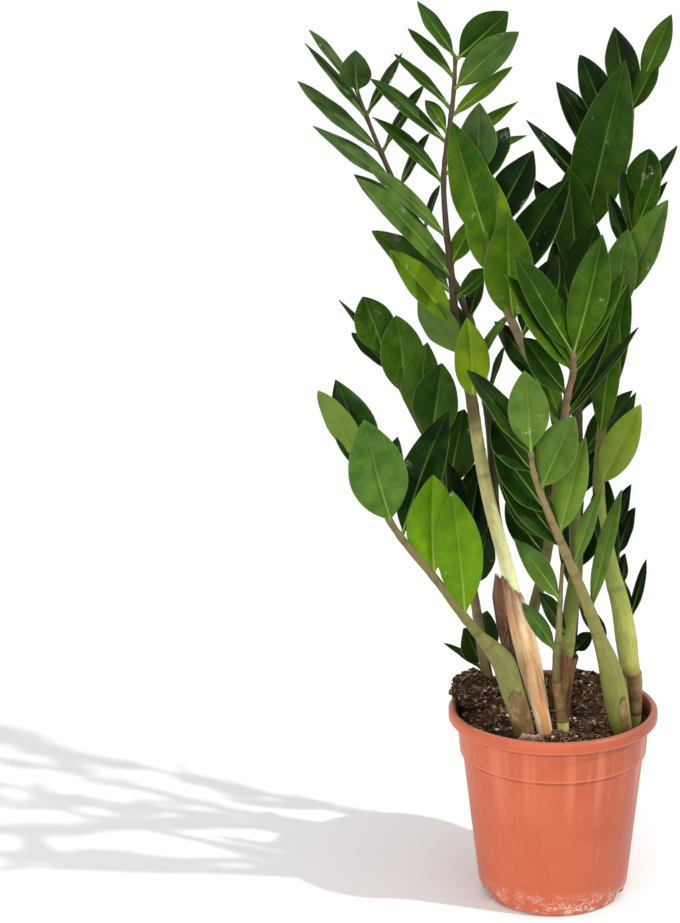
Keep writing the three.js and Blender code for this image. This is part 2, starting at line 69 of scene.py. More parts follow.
# ---- Driving dimensions, as in the part ----
POT_HEIGHT = 160
RIM_RADIUS = 85
RIM_TALL = 10.5
COLLAR_TOP_RADIUS = 78
COLLAR_FOOT_RADIUS = 76
COLLAR_FOOT_Z = 122.5
STEP_IN = 2.2  # from the collar's foot in to the wall below it
FOOT_RADIUS = 57
PLATE_EDGE_RADIUS = 61.6  # the wall's, level with the base plate
WALL = 1.6
PLATE_Z = 9.4
PAD_RADIUS = 17
NOTCH_TALL = 8.6
NOTCH_SPAN = 20  # degrees
NOTCH_DEEP = 24
NOTCH_AT = (-68, 68, 180)  # degrees round from the front
SOIL_LEVEL = 150
STALK_FOOT_Z = 108
FOOT_INWARD = 0.86  # how far out a stalk's foot stands, as a share of its lowest row's place
SHEATH = 1.2  # how far a dry sheath stands out from its stalk
FOLD = 0.19  # how far a blade's halves fold up, as a share of their width
ARCH = 0.02  # how far a blade arches, as a share of its length, times a draw from LEAST_ARCH up
LEAST_ARCH = -0.3
DEPTH_DRAW = 24  # the span of the draw for a tip's depth
ROLL_DRAW = 10  # the span of the draw for a leaflet's roll, in degrees
DEPTH_STREAM = 9  # what a leaflet's index is raised by to draw its depth
ARCH_STREAM = 50  # and its arch

# ---- Finer than the part ----
POT_SIDES = 160
POT_EDGE = 0.55  # how far the pot's edges are rounded
STALK_SIDES = 18
STALK_STEP = 2.2  # between a stalk's rings
# A stalk swells by so much, over such a length, where a leaflet leaves it or has left a scar,
# and has a dark ring there, which lies so far below the middle and is so long.
JOINT = dict(swell=0.3, long=3.2, ring_at=3, ring_long=1.6)
SCAR = dict(swell=0.25, long=1.2, ring_at=0, ring_long=1.5)
BLADE_STREAM = 100  # what a leaflet's index is raised by to draw the rest of its form
BLADE_MIDDLE = 1.0  # a leaflet's thickness along its midrib
BLADE_EDGE = 0.42
CROWN = 0.10  # how far each half of a blade swells up, as a share of its half width
RIPPLE = 0.045  # how far a blade's edge waves, as a share of its half width
TWIST = 16  # the most that a blade twists along its length, in degrees
SICKLE = 0.022  # the most that a blade bends sideways, as a share of its length
GROOVE = 0.3  # how deep the midrib lies in the upper face
RIB = 0.7  # how far it stands out below
MUCH_PAINTED_SHEEN, LEAST_PAINTED_SHEEN = 0.42, 0.03  # how much painted sheen a leaflet's face has
FOOTSTALK = 3.4  # how far a leaflet's blade starts from its stalk
FOOTSTALK_HALF = 1.25

# The stalks from the tip down are [x, z, y, radius], and the leaflets are
# [height on the stalk, tip x, tip z, tip's depth, width, roll in degrees, tone from old 0 to young 1].
# The tone also holds painted shade and painted light, darker or brighter as each leaflet lay in shade or
# light.
# A stalk's skin is [height, red, green, blue], the stalk's own colours with painted shade in places; its
# scars are the heights of old leaf scars, and its list of sheened leaflets names those whose faces get a
# painted sheen.
FRONDS = {
    "frond_tall_left": dict(
        seed=11, painted_sheen=[2, 11, 13, 14], finish="leaf_green",
        skin=[
            [690, 88, 74, 60], [560, 70, 58, 46], [440, 68, 58, 44], [402, 90, 82, 52],
            [385, 158, 152, 98], [340, 196, 188, 130], [300, 210, 210, 148], [260, 228, 230, 176],
            [240, 230, 230, 178], [130, 190, 180, 120],
        ],
        scars=[399, 391, 373, 353, 316],
        stalk=[
            [-73, 680, 26, 1.4], [-75, 651, 23, 1.7], [-83, 592, 16, 2], [-82, 555, 10, 2.4],
            [-78, 512, 3, 2.7], [-73, 460, -5, 3.1], [-64, 419, -10, 4.6], [-59, 382, -15, 5],
            [-50, 331, -21, 5.2], [-38, 284, -28, 5.6], [-32, 258, -32, 5.7], [-24, 222, -37, 5.4],
            [-14, 175, -43, 5.4], [-6, 133, -48, 4.6],
        ],
        leaves=[
            [680, -102, 722, 0, 20, 52, 0.35], [678, -33, 713, -8, 30, 12, 0.3],
            [656, -25, 698, -12, 25, 10, 0.4], [665, -109, 702, 4, 17, 58, 0.45],
            [641, -120, 683, 4, 17, 60, 0.4], [636, -30, 672, 0, 22, 52, 0.6],
            [622, -96, 649, -8, 15, 40, 0.45], [616, -137, 667, 0, 20, 50, 0.3],
            [603, -27, 647, 4, 23, 55, 0.5], [592, -20, 622, 8, 17, 62, 0.45],
            [585, -136, 638, -4, 20, 52, 0.3], [543, -140, 599, -5, 18, 50, 0.46],
            [520, -58, 560, 0, 25, 45, 0.5], [512, -149, 591, -10, 24, 40, 0.48],
            [499, -140, 549, 9, 30, 34, 0.4], [494, -49, 519, 4, 22, 50, 0.4],
            [472, -127, 534, -28, 28, 35, 0.72], [448, -105, 495, 8, 33, 140, 0.4],
            [411, -66, 480, -14, 28, 10, 0.85], [432, -34, 484, 2, 15, 60, 0.6],
        ],
    ),
    "frond_slim_left": dict(
        seed=23, painted_sheen=[0, 1, 2, 4, 6, 8], finish="leaf_dark",
        skin=[
            [690, 74, 62, 50], [540, 64, 54, 42], [430, 70, 66, 42], [300, 56, 58, 32],
            [150, 52, 50, 30],
        ],
        scars=[300, 240],
        stalk=[
            [-149, 658, 116, 1.3], [-142, 638, 112, 1.6], [-130, 607, 104, 2], [-113, 569, 95, 2.5],
            [-97, 544, 89, 2.8], [-67, 487, 77, 3.3], [-51, 409, 62, 4], [-47, 365, 56, 4.3],
            [-46, 325, 50, 4.6], [-36, 275, 44, 5], [-25, 232, 42, 5.4], [-14, 150, 40, 6],
        ],
        leaves=[
            [658, -183, 704, 0, 14, 58, 0.3], [655, -149, 687, -14, 26, 8, 0.26],
            [636, -188, 693, 2, 19, 60, 0.42], [638, -113, 684, 0, 17, 55, 0.25],
            [610, -194, 665, 0, 23, 58, 0.36], [609, -98, 660, 4, 17, 62, 0.2],
            [586, -184, 630, 0, 27, 55, 0.4], [580, -95, 624, 4, 16, 64, 0.2],
            [542, -152, 594, 4, 34, 48, 0.32], [548, -86, 584, 4, 14, 66, 0.2],
            [477, -54, 517, 2, 20, 52, 0.25], [414, -38, 458, 2, 13, 66, 0.3],
            [505, -112, 552, 14, 24, 50, 0.4], [455, -92, 500, 16, 22, 50, 0.4],
        ],
    ),
    "frond_centre_bright": dict(
        seed=37, painted_sheen=[3], finish="leaf_green",
        skin=[
            [600, 84, 94, 58], [545, 70, 98, 34], [506, 70, 98, 34], [480, 118, 102, 80],
            [440, 122, 106, 84], [380, 104, 96, 66],
            [300, 84, 92, 44], [250, 92, 102, 48], [225, 130, 138, 72], [200, 138, 146, 78],
            [150, 140, 126, 82],
        ],
        scars=[340, 286],
        stalk=[
            [-57, 595, -56, 1.6], [-53, 561, -51, 2.2], [-48, 530, -43, 2.7], [-41, 501, -35, 3.1],
            [-23, 459, -20, 3.5], [-9, 431, -8, 3.9], [10, 382, 6, 4.3], [17, 333, 8, 4.7],
            [19, 275, 8, 5.4], [15, 243, 8, 6.1], [11, 204, 8, 6.2], [7, 174, 8, 7.4], [7, 152, 7, 7.4],
        ],
        leaves=[
            [536, -77, 633, -28, 34, 14, 0.48], [508, -51, 598, -30, 36, 6, 0.64],
            [474, -34, 563, -34, 38, 4, 0.56], [590, -56, 646, 8, 31, 22, 0.2],
            [582, -34, 628, 20, 29, 40, 0.2], [545, -15, 610, 26, 34, 35, 0.0],
            [498, 13, 589, 30, 38, 28, 0.1], [462, 4, 529, 30, 32, 35, 0.12],
            [420, -44, 478, 8, 25, 38, 0.1], [216, -11, 256, -20, 18, 38, 0.12],
        ],
    ),
    "frond_rear_right": dict(
        seed=41, finish="leaf_dark",
        skin=[
            [690, 84, 72, 52], [520, 72, 62, 44], [400, 66, 62, 40], [250, 58, 62, 34],
            [160, 52, 50, 30],
        ],
        scars=[330, 270],
        stalk=[
            [68, 661, 104, 1.5], [60, 640, 102, 1.9], [48, 611, 98, 2.4], [36, 580, 94, 2.8],
            [26, 552, 90, 3.2], [20, 510, 87, 3.6], [19, 430, 80, 4.3], [20, 333, 70, 4.8],
            [17, 250, 64, 5], [12, 165, 60, 5.2],
        ],
        leaves=[
            [656, 88, 708, -12, 20, 14, 0.55], [637, 46, 700, 0, 29, 24, 0.16],
            [614, 21, 680, 0, 29, 34, 0.14], [590, 4, 661, 2, 29, 40, 0.12],
            [573, -20, 632, 2, 19, 50, 0.12], [635, 79, 676, 4, 20, 26, 0.5],
            [540, 55, 676, -26, 46, 6, 0.42], [505, 12, 596, -4, 34, 20, 0.35],
            [480, 33, 553, -8, 34, 20, 0.3], [567, 60, 640, 6, 27, 30, 0.4],
            [440, -8, 505, 10, 28, 45, 0.15], [400, 52, 468, 12, 28, 45, 0.2],
            [352, 0, 412, 12, 26, 45, 0.2], [458, 2, 542, -4, 34, 14, 0.35],
            [202, 32, 222, 0, 15, 30, 0.15], [252, 43, 218, 4, 14, 20, 0.12], [305, -6, 362, 6, 34, 30, 0.06],
            [330, 44, 392, 10, 30, 40, 0.12], [270, 40, 330, 8, 30, 35, 0.1],
            [519, -14, 588, 2, 28, 34, 0.14], [250, 12, 356, -10, 26, 30, 0.08],
            [362, 62, 422, -8, 26, 42, 0.4],
        ],
    ),
    "frond_tall_right": dict(
        seed=53, painted_sheen=[5, 6, 10], finish="leaf_green",
        skin=[
            [575, 96, 84, 62], [440, 98, 92, 58], [340, 116, 124, 60], [270, 128, 140, 68],
            [235, 153, 160, 86], [196, 167, 171, 94], [188, 150, 140, 78], [178, 96, 76, 46],
            [152, 130, 126, 66],
        ],
        scars=[186, 176],
        stalk=[
            [67, 570, 38, 1.5], [59, 532, 36, 2], [52, 486, 32, 2.7], [43, 430, 26, 3.3],
            [38, 382, 20, 4], [37, 333, 14, 5], [47, 275, 6, 6.4], [55, 243, 0, 7.8],
            [59, 218, -3, 8.8], [62, 197, -6, 8], [66, 184, -8, 5.8], [67, 163, -10, 4.9],
            [67, 140, -11, 4.4],
        ],
        leaves=[
            [567, 73, 609, 14, 27, 16, 0.2], [560, 94, 611, 26, 20, 50, 0.2],
            [542, 81, 594, -26, 18, 24, 0.45], [540, 53, 593, 22, 20, 50, 0.15],
            [525, 42, 577, 20, 20, 54, 0.15], [491, 86, 570, -24, 30, 28, 0.58],
            [478, 57, 548, -26, 27, 20, 0.5], [404, 58, 507, -4, 22, 20, 0.42],
            [384, 50, 474, -18, 24, 34, 0.5], [352, 66, 420, 18, 26, 46, 0.4],
            [342, 68, 410, -24, 27, 8, 0.98], [540, 87, 584, 6, 14, 56, 0.12],
            [302, 42, 352, 10, 22, 30, 0.12], [262, 33, 350, 24, 22, 35, 0.08],
        ],
    ),
    "frond_centre_high": dict(
        seed=61, finish="leaf_green",
        skin=[
            [460, 124, 104, 80], [400, 128, 108, 84], [350, 108, 98, 66], [290, 96, 92, 56],
            [240, 118, 104, 76], [160, 74, 70, 44],
        ],
        scars=[330, 270],
        stalk=[
            [16, 452, -74, 1.8], [16, 436, -68, 2.3], [12, 419, -60, 2.7], [8, 390, -44, 3.2],
            [4, 350, -24, 3.6], [-4, 292, 0, 4.2], [-9, 267, 9, 4.4], [-17, 230, 14, 4.8],
            [-19, 160, 18, 5.4],
        ],
        leaves=[
            [450, 38, 544, -16, 29, 5, 0.46], [450, -27, 528, -30, 28, 38, 0.34],
            [437, -37, 514, -32, 31, 44, 0.42], [418, -23, 464, -24, 27, 40, 0.3],
            [433, 56, 516, 14, 24, 48, 0.5], [398, 67, 471, 18, 17, 58, 0.15],
            [402, 44, 468, 20, 27, 55, 0.15], [440, -4, 494, 0, 24, 50, 0.45],
            [392, -10, 440, -6, 24, 50, 0.6], [345, -42, 400, 0, 34, 22, 0.3],
            [297, -43, 357, -2, 34, 26, 0.16],
            [444, 56, 507, 4, 17, 50, 0.55], [285, -37, 331, 4, 30, 30, 0.14],
        ],
    ),
    "frond_front_right": dict(
        seed=71, painted_sheen=[0, 2, 3, 7, 8], finish="leaf_green",
        skin=[
            [380, 124, 108, 80], [330, 132, 116, 84], [280, 128, 116, 80], [240, 124, 122, 72],
            [210, 124, 125, 73], [175, 121, 127, 65], [140, 114, 120, 54],
        ],
        scars=[224],
        stalk=[
            [-17, 372, -116, 1.7], [-15, 357, -112, 2.2], [-2, 319, -101, 2.8], [11, 288, -92, 3.6],
            [20, 266, -84, 3.9], [29, 243, -75, 4.6], [37, 220, -66, 5.2], [45, 197, -55, 8.2],
            [50, 174, -45, 10], [54, 151, -38, 9.2], [57, 134, -35, 7.6],
        ],
        leaves=[
            [371, -22, 438, -8, 30, 5, 0.56], [370, -67, 439, 0, 28, 48, 0.18],
            [340, 17, 401, -8, 31, 14, 0.56], [302, 26, 385, -10, 23, 18, 0.68],
            [352, -48, 398, 8, 36, 36, 0.18], [318, -47, 381, 2, 36, 30, 0.18],
            [290, -45, 361, 8, 34, 40, 0.22], [275, 38, 342, -6, 14, 30, 0.6],
            [239, 55, 342, -6, 15, 35, 0.55],
        ],
    ),
    "frond_front_left": dict(
        seed=83, painted_sheen=[0, 1], finish="leaf_bright",
        skin=[
            [380, 112, 96, 74], [300, 114, 102, 72], [265, 112, 104, 66], [235, 110, 108, 60],
            [205, 116, 117, 68], [170, 120, 121, 71], [135, 110, 102, 54],
        ],
        scars=[222, 212],
        stalk=[
            [-158, 372, -122, 1.7], [-144, 345, -116, 2.1], [-129, 313, -108, 2.5],
            [-116, 294, -103, 2.8], [-93, 265, -94, 3], [-77, 242, -86, 3.3], [-59, 219, -75, 4.2],
            [-49, 208, -69, 7], [-40, 196, -63, 9.4], [-33, 173, -56, 9.2], [-26, 149, -50, 8.6],
            [-22, 131, -48, 7.6],
        ],
        leaves=[
            [313, -150, 400, -36, 43, 4, 0.46], [364, -185, 423, -4, 26, 135, 0.66],
            [348, -171, 432, 20, 33, 8, 0.15], [317, -123, 385, 8, 30, 40, 0.3],
            [301, -82, 407, 42, 33, 14, 0.08], [268, -95, 354, -7, 40, -12, 0.8],
            [233, -80, 341, -24, 35, 10, 0.74],
        ],
    ),
    "frond_mid_left": dict(
        seed=97, finish="leaf_dark",
        skin=[
            [460, 84, 72, 54], [380, 84, 74, 54], [300, 96, 84, 60], [240, 112, 98, 70],
            [165, 80, 70, 44],
        ],
        scars=[236],
        stalk=[
            [-136, 458, 40, 1.5], [-118, 421, 38, 1.9], [-112, 408, 37, 2.1], [-97, 377, 35, 2.6],
            [-77, 316, 32, 3.1], [-63, 252, 28, 3.8], [-58, 215, 26, 4.4], [-50, 165, 25, 5.2],
        ],
        leaves=[
            [452, -167, 495, -6, 12, 62, 0.35], [449, -148, 498, 2, 33, 18, 0.5],
            [436, -157, 470, 5, 20, 40, 0.2], [416, -122, 483, -10, 36, 5, 0.56],
            [393, -98, 461, -6, 34, 18, 0.5], [376, -86, 445, -8, 38, 16, 0.42],
            [340, -70, 407, 2, 38, 24, 0.34], [296, -84, 363, -6, 29, 50, 0.15],
            [279, -56, 368, 4, 34, 24, 0.08], [258, -50, 312, 6, 30, 34, 0.15],
        ],
    ),
    "frond_small_front": dict(
        seed=101, painted_sheen=[0, 1], finish="leaf_green",
        skin=[
            [280, 96, 90, 58], [240, 124, 122, 78], [200, 112, 108, 68], [175, 112, 92, 66],
            [156, 130, 120, 74], [147, 184, 184, 112], [130, 188, 188, 116],
        ],
        scars=[214, 186],
        stalk=[
            [8, 280, -64, 1.4], [6, 243, -61, 2.1], [5, 220, -57, 2.6], [3, 197, -53, 2.9],
            [4, 173, -47, 3.1], [8, 150, -44, 4.5], [9, 133, -42, 4.9],
        ],
        leaves=[
            [249, -31, 301, -8, 19, 18, 0.5], [204, -25, 247, -8, 14, 18, 0.45],
        ],
    ),
    "frond_small_right": dict(
        seed=113, finish="leaf_dark",
        skin=[
            [300, 74, 84, 50], [250, 66, 72, 46], [158, 56, 58, 40],
        ],
        scars=[236, 200],
        stalk=[
            [47, 308, 66, 1.5], [50, 294, 63, 1.8], [55, 270, 58, 2.1], [62, 232, 50, 2.7],
            [60, 196, 44, 3.1], [57, 158, 38, 3.6],
        ],
        leaves=[
            [303, 62, 346, 2, 18, 45, 0.1], [286, 65, 327, -4, 18, 45, 0.1],
            [262, 58, 289, 2, 13, 45, 0.1], [232, 75, 284, 0, 12, 48, 0.14],
            [229, 55, 270, -2, 13, 45, 0.14],
        ],
    ),
    "sprout_left": dict(
        seed=127, finish="leaf_dark",
        skin=[
            [200, 84, 86, 50], [180, 72, 66, 44], [160, 60, 48, 36],
        ],
        scars=[178],
        stalk=[
            [-58, 200, 55, 1.6], [-55, 186, 51, 2.4], [-52, 164, 46, 3.4],
        ],
        leaves=[
            [197, -53, 240, -4, 28, 24, 0.25], [192, -72, 225, -8, 25, 18, 0.32],
            [189, -88, 212, -8, 11, 58, 0.35],
        ],
    ),
}


# ---- Camera ----
def photo_camera():
    """The camera stands where the photograph was taken: level with the plant's top, looking down at it."""
    data = bpy.data.cameras.new("photo_camera")
    data.lens = LENS
    data.sensor_width = SENSOR_WIDE
    data.clip_end = 500.0
    camera = bpy.data.objects.new("photo_camera", data)
    down, left = math.radians(LOOK_DOWN), math.radians(LOOK_LEFT)
    tilt = Matrix.Rotation(math.pi / 2 - down, 4, "X") @ Matrix.Rotation(left, 4, "Y")
    camera.matrix_world = Matrix.Translation(Vector(EYE * MM)) @ tilt
    bpy.context.scene.collection.objects.link(camera)
    bpy.context.scene.camera = camera


# ---- Meshes ----
def draw(index, seed):
    """A repeatable draw from 0 to 1."""
    value = math.sin(index * 12.9898 + seed * 78.233) * 43758.5453
    return value - math.floor(value)


def unit(vector):
    return vector / np.linalg.norm(vector, axis=-1, keepdims=True)


def round_turns(sides):
    """The angles of a ring of points."""
    return np.linspace(0, 2 * math.pi, sides, endpoint=False)


def make_piece(name, material, points, faces, marks=None):
    """A smooth mesh piece from points in millimetres: each mark has a name and a vector for every point."""
    mesh = bpy.data.meshes.new(name)
    mesh.from_pydata((np.asarray(points, float) * MM).tolist(), [], [list(map(int, f)) for f in faces])
    for mark, values in (marks or {}).items():
        layer = mesh.attributes.new(mark, "FLOAT_VECTOR", "POINT")
        layer.data.foreach_set("vector", np.asarray(values, np.float32).ravel())
    mesh.polygons.foreach_set("use_smooth", [True] * len(mesh.polygons))
    mesh.materials.append(material)
    mesh.update()
    piece = bpy.data.objects.new(name, mesh)
    bpy.context.scene.collection.objects.link(piece)
    return piece


def settle(piece, slot, *nodes):
    """The piece rides on the part's one body, and stands for its nodes."""
    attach(piece, "root")
    if nodes:
        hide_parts(*nodes)


def grid_faces(rows, columns, closed):
    """The quads of a grid of points, whose columns close into a ring or not."""
    quads = []
    for i in range(rows - 1):
        for j in range(columns if closed else columns - 1):
            k = (j + 1) % columns
            quads.append([i * columns + j, i * columns + k, (i + 1) * columns + k, (i + 1) * columns + j])
    return np.array(quads)


def tube_faces(rings, sides):
    """The quads between rings of points, and one face that closes each end."""
    ends = [list(range(sides))[::-1], list(range((rings - 1) * sides, rings * sides))]
    return grid_faces(rings, sides, closed=True).tolist() + ends


def sheet_faces(rows, columns):
    """The quads of one closed thin sheet: its two faces, its two long edges and its two ends."""
    upper = grid_faces(rows, columns, closed=False)
    count = rows * columns
    faces = [upper, upper[:, ::-1] + count]
    left = np.arange(rows - 1) * columns
    right = left + columns - 1
    faces.append(np.stack([left, left + columns, left + columns + count, left + count], axis=1))
    faces.append(np.stack([right, right + count, right + columns + count, right + columns], axis=1))
    foot = np.arange(columns - 1)
    tip = foot + (rows - 1) * columns
    faces.append(np.stack([foot + count, foot + 1 + count, foot + 1, foot], axis=1))
    faces.append(np.stack([tip, tip + 1, tip + 1 + count, tip + count], axis=1))
    return np.concatenate(faces)


def sheet_marks(rows, columns, *values):
    """A mark of three numbers for each point of a sheet's two faces."""
    spread = [np.broadcast_to(value, (2, rows, columns)) for value in values]
    return np.stack(spread, axis=-1).reshape(-1, 3)


def ball_mesh(subdivisions):
    """The points and the triangles of a ball whose radius is 1."""
    ball = bmesh.new()
    bmesh.ops.create_icosphere(ball, subdivisions=subdivisions, radius=1.0)
    points = [vertex.co.copy() for vertex in ball.verts]
    faces = [[vertex.index for vertex in face.verts] for face in ball.faces]
    ball.free()
    return points, faces


def joined(parts):
    """One mesh made of several: the points, faces and marks of each in turn."""
    points, faces, marks = [], [], {}
    first = 0
    for some_points, some_faces, some_marks in parts:
        points.append(some_points)
        faces += [[first + k for k in face] for face in some_faces]
        first += len(some_points)
        for mark, values in some_marks.items():
            marks.setdefault(mark, []).append(values)
    return np.concatenate(points), faces, {mark: np.concatenate(values) for mark, values in marks.items()}


def apply_modifiers(piece):
    """The piece's mesh with its modifiers worked in."""
    shaped = piece.evaluated_get(bpy.context.evaluated_depsgraph_get())
    mesh = bpy.data.meshes.new_from_object(shaped)
    piece.modifiers.clear()
    piece.data = mesh


# ---- Stalks ----
def sight_point(x, z, y):
    """The place at the depth y that the camera sees at x and z of the plane through the pot's middle."""
    target = np.array([x, 0.0, z])
    return EYE + (target - EYE) * (1 + y / -EYE[1])


def seen_height(points):
    """The height in the same plane at which the camera sees a place, which is how the tables give heights."""
    return EYE[2] + (points[..., 2] - EYE[2]) / (1 + points[..., 1] / -EYE[1])


class Stalk:
    """A frond's stalk as a smooth line with a radius along it, from the tip down into the soil."""

    def __init__(self, rows):
        points = [sight_point(x, z, y) for x, z, y, _ in rows]
        low = points[-1]
        points.append(np.array([low[0] * FOOT_INWARD, low[1] * FOOT_INWARD, STALK_FOOT_Z]))
        self.last = len(points) - 1
        self.points = np.array([2 * points[0] - points[1], *points, 2 * points[-1] - points[-2]])
        self.radii = np.array([row[3] for row in rows] + [rows[-1][3]])

    def at(self, share):
        """Places on a smooth curve through the rows' points."""
        place = np.clip(np.atleast_1d(share), 0, 1) * self.last
        i = np.minimum(place.astype(int), self.last - 1)
        w = (place - i)[:, None]
        p0, p1, p2, p3 = (self.points[i + k] for k in range(4))
        d0, d1, d2 = (
            np.sqrt(np.linalg.norm(b - a, axis=1))[:, None] for a, b in ((p0, p1), (p1, p2), (p2, p3))
        )
        t1 = ((p1 - p0) / d0 - (p2 - p0) / (d0 + d1) + (p2 - p1) / d1) * d1
        t2 = ((p2 - p1) / d1 - (p3 - p1) / (d1 + d2) + (p3 - p2) / d2) * d1
        return p1 + t1 * w + (3 * (p2 - p1) - 2 * t1 - t2) * w**2 + (2 * (p1 - p2) + t1 + t2) * w**3

    def along(self, share):
        share = np.atleast_1d(share)
        return unit(self.at(share + 1e-4) - self.at(share - 1e-4))

    def radius(self, share):
        """The radius, rounded off where the part's stalk has a corner."""
        place = np.atleast_1d(share) * self.last
        steps = np.arange(len(self.radii))
        before, here, after = (
            np.interp(np.clip(place + shift, 0, self.last), steps, self.radii) for shift in (-0.3, 0, 0.3)
        )
        return (before + 2 * here + after) / 4

    def at_height(self, height):
        """The share of the line at which the camera sees it pass a height."""
        high, low = 0.0, 1.0
        for _ in range(24):
            middle = (high + low) / 2
            if seen_height(self.at(middle)[0]) > height:
                high = middle
            else:
                low = middle
        return (high + low) / 2

    def rings(self, shares, radii, turns):
        """One ring of points for each share, with a row of radii for each ring."""
        centre, along = self.at(shares), self.along(shares)
        across = unit(np.cross([0.0, 1.0, 0.0], along))
        out = np.cross(along, across)
        return (
            centre[:, None]
            + across[:, None] * (radii * np.cos(turns))[..., None]
            + out[:, None] * (radii * np.sin(turns))[..., None]
        )


STALKS = {name: Stalk(frond["stalk"]) for name, frond in FRONDS.items()}


def even_shares(stalk, step):
    """Shares of the stalk's line about step millimetres apart, and their distances from the tip."""
    fine = np.linspace(0, 1, 600)
    lengths = np.concatenate([[0], np.cumsum(np.linalg.norm(np.diff(stalk.at(fine), axis=0), axis=1))])
    places = np.linspace(lengths[0], lengths[-1], max(4, int((lengths[-1] - lengths[0]) / step)))
    return np.interp(places, lengths, fine), places


def hump(places, middle, reach):
    """A rounded hump from 0 to 1 about a middle."""
    return np.exp(-(((places - middle) / reach) ** 2))


def stalk_mesh(stalk, frond):
    """The stalk's own surface: swollen at its joints and scars, with faint ridges along it."""
    shares, places = even_shares(stalk, STALK_STEP)
    turns = round_turns(STALK_SIDES)
    radii = stalk.radius(shares)
    ringed = np.zeros(len(places))
    spots = [(row[0], JOINT) for row in frond["leaves"]]
    spots += [(height, SCAR) for height in frond.get("scars", [])]
    for height, kind in spots:
        place = np.interp(stalk.at_height(height), shares, places)
        radii = radii + kind["swell"] * hump(places, place, kind["long"])
        ringed = np.maximum(ringed, hump(places, place + kind["ring_at"], kind["ring_long"]))
    ridge = 1 + 0.018 * np.cos(3 * turns + frond["seed"]) + 0.012 * np.cos(7 * turns)
    points = stalk.rings(shares, radii[:, None] * ridge[None, :], turns)
    # The skin's colours are the stalk's own, darkened in places as painted shade.
    skin = np.array(frond["skin"], float)[::-1]
    seen = seen_height(stalk.at(shares))
    colour = np.stack([np.interp(seen, skin[:, 0], (skin[:, k] / 255) ** 2.2) for k in (1, 2, 3)], axis=1)
    mark = np.stack(np.broadcast_arrays(turns[None, :], places[:, None], ringed[:, None]), axis=2)
    marks = {"stalk_skin": np.repeat(colour, STALK_SIDES, axis=0), "stalk_mark": mark.reshape(-1, 3)}
    return points.reshape(-1, 3), tube_faces(len(shares), STALK_SIDES), marks


# ---- Leaflets ----
LENGTHWISE = 0.5 - 0.5 * np.cos(np.linspace(0, math.pi, 27))
CROSSWISE = np.array([-1, -0.965, -0.87, -0.7, -0.5, -0.32, -0.16, -0.055, 0,
                      0.055, 0.16, 0.32, 0.5, 0.7, 0.87, 0.965, 1])
BLADE_GRID = (len(LENGTHWISE), len(CROSSWISE))
BLADE_FACES = sheet_faces(*BLADE_GRID).tolist()
UPPER_AND_UNDER = np.array([0.0, 1.0])[:, None, None]


def leaflet_frame(stalk, row, index, seed):
    """Where a leaflet starts, its three directions and its length, as in the part."""
    height, tip_x, tip_z, depth, _, roll, _ = row
    root = stalk.at(stalk.at_height(height))[0]
    further = depth + DEPTH_DRAW * (draw(index + DEPTH_STREAM, seed) - 0.5)
    tip = sight_point(tip_x, tip_z, root[1] + further)
    along = unit(tip - root)
    facing = unit(EYE - root)
    facing = unit(facing - along * (facing @ along))
    side = 1 if tip[0] < root[0] else -1
    upward = np.cross(along, facing) * side
    turn = math.radians(roll + ROLL_DRAW * (draw(index, seed) - 0.5))
    normal = facing * math.cos(turn) + upward * math.sin(turn)
    return root, along, np.cross(along, normal), normal, np.linalg.norm(tip - root)


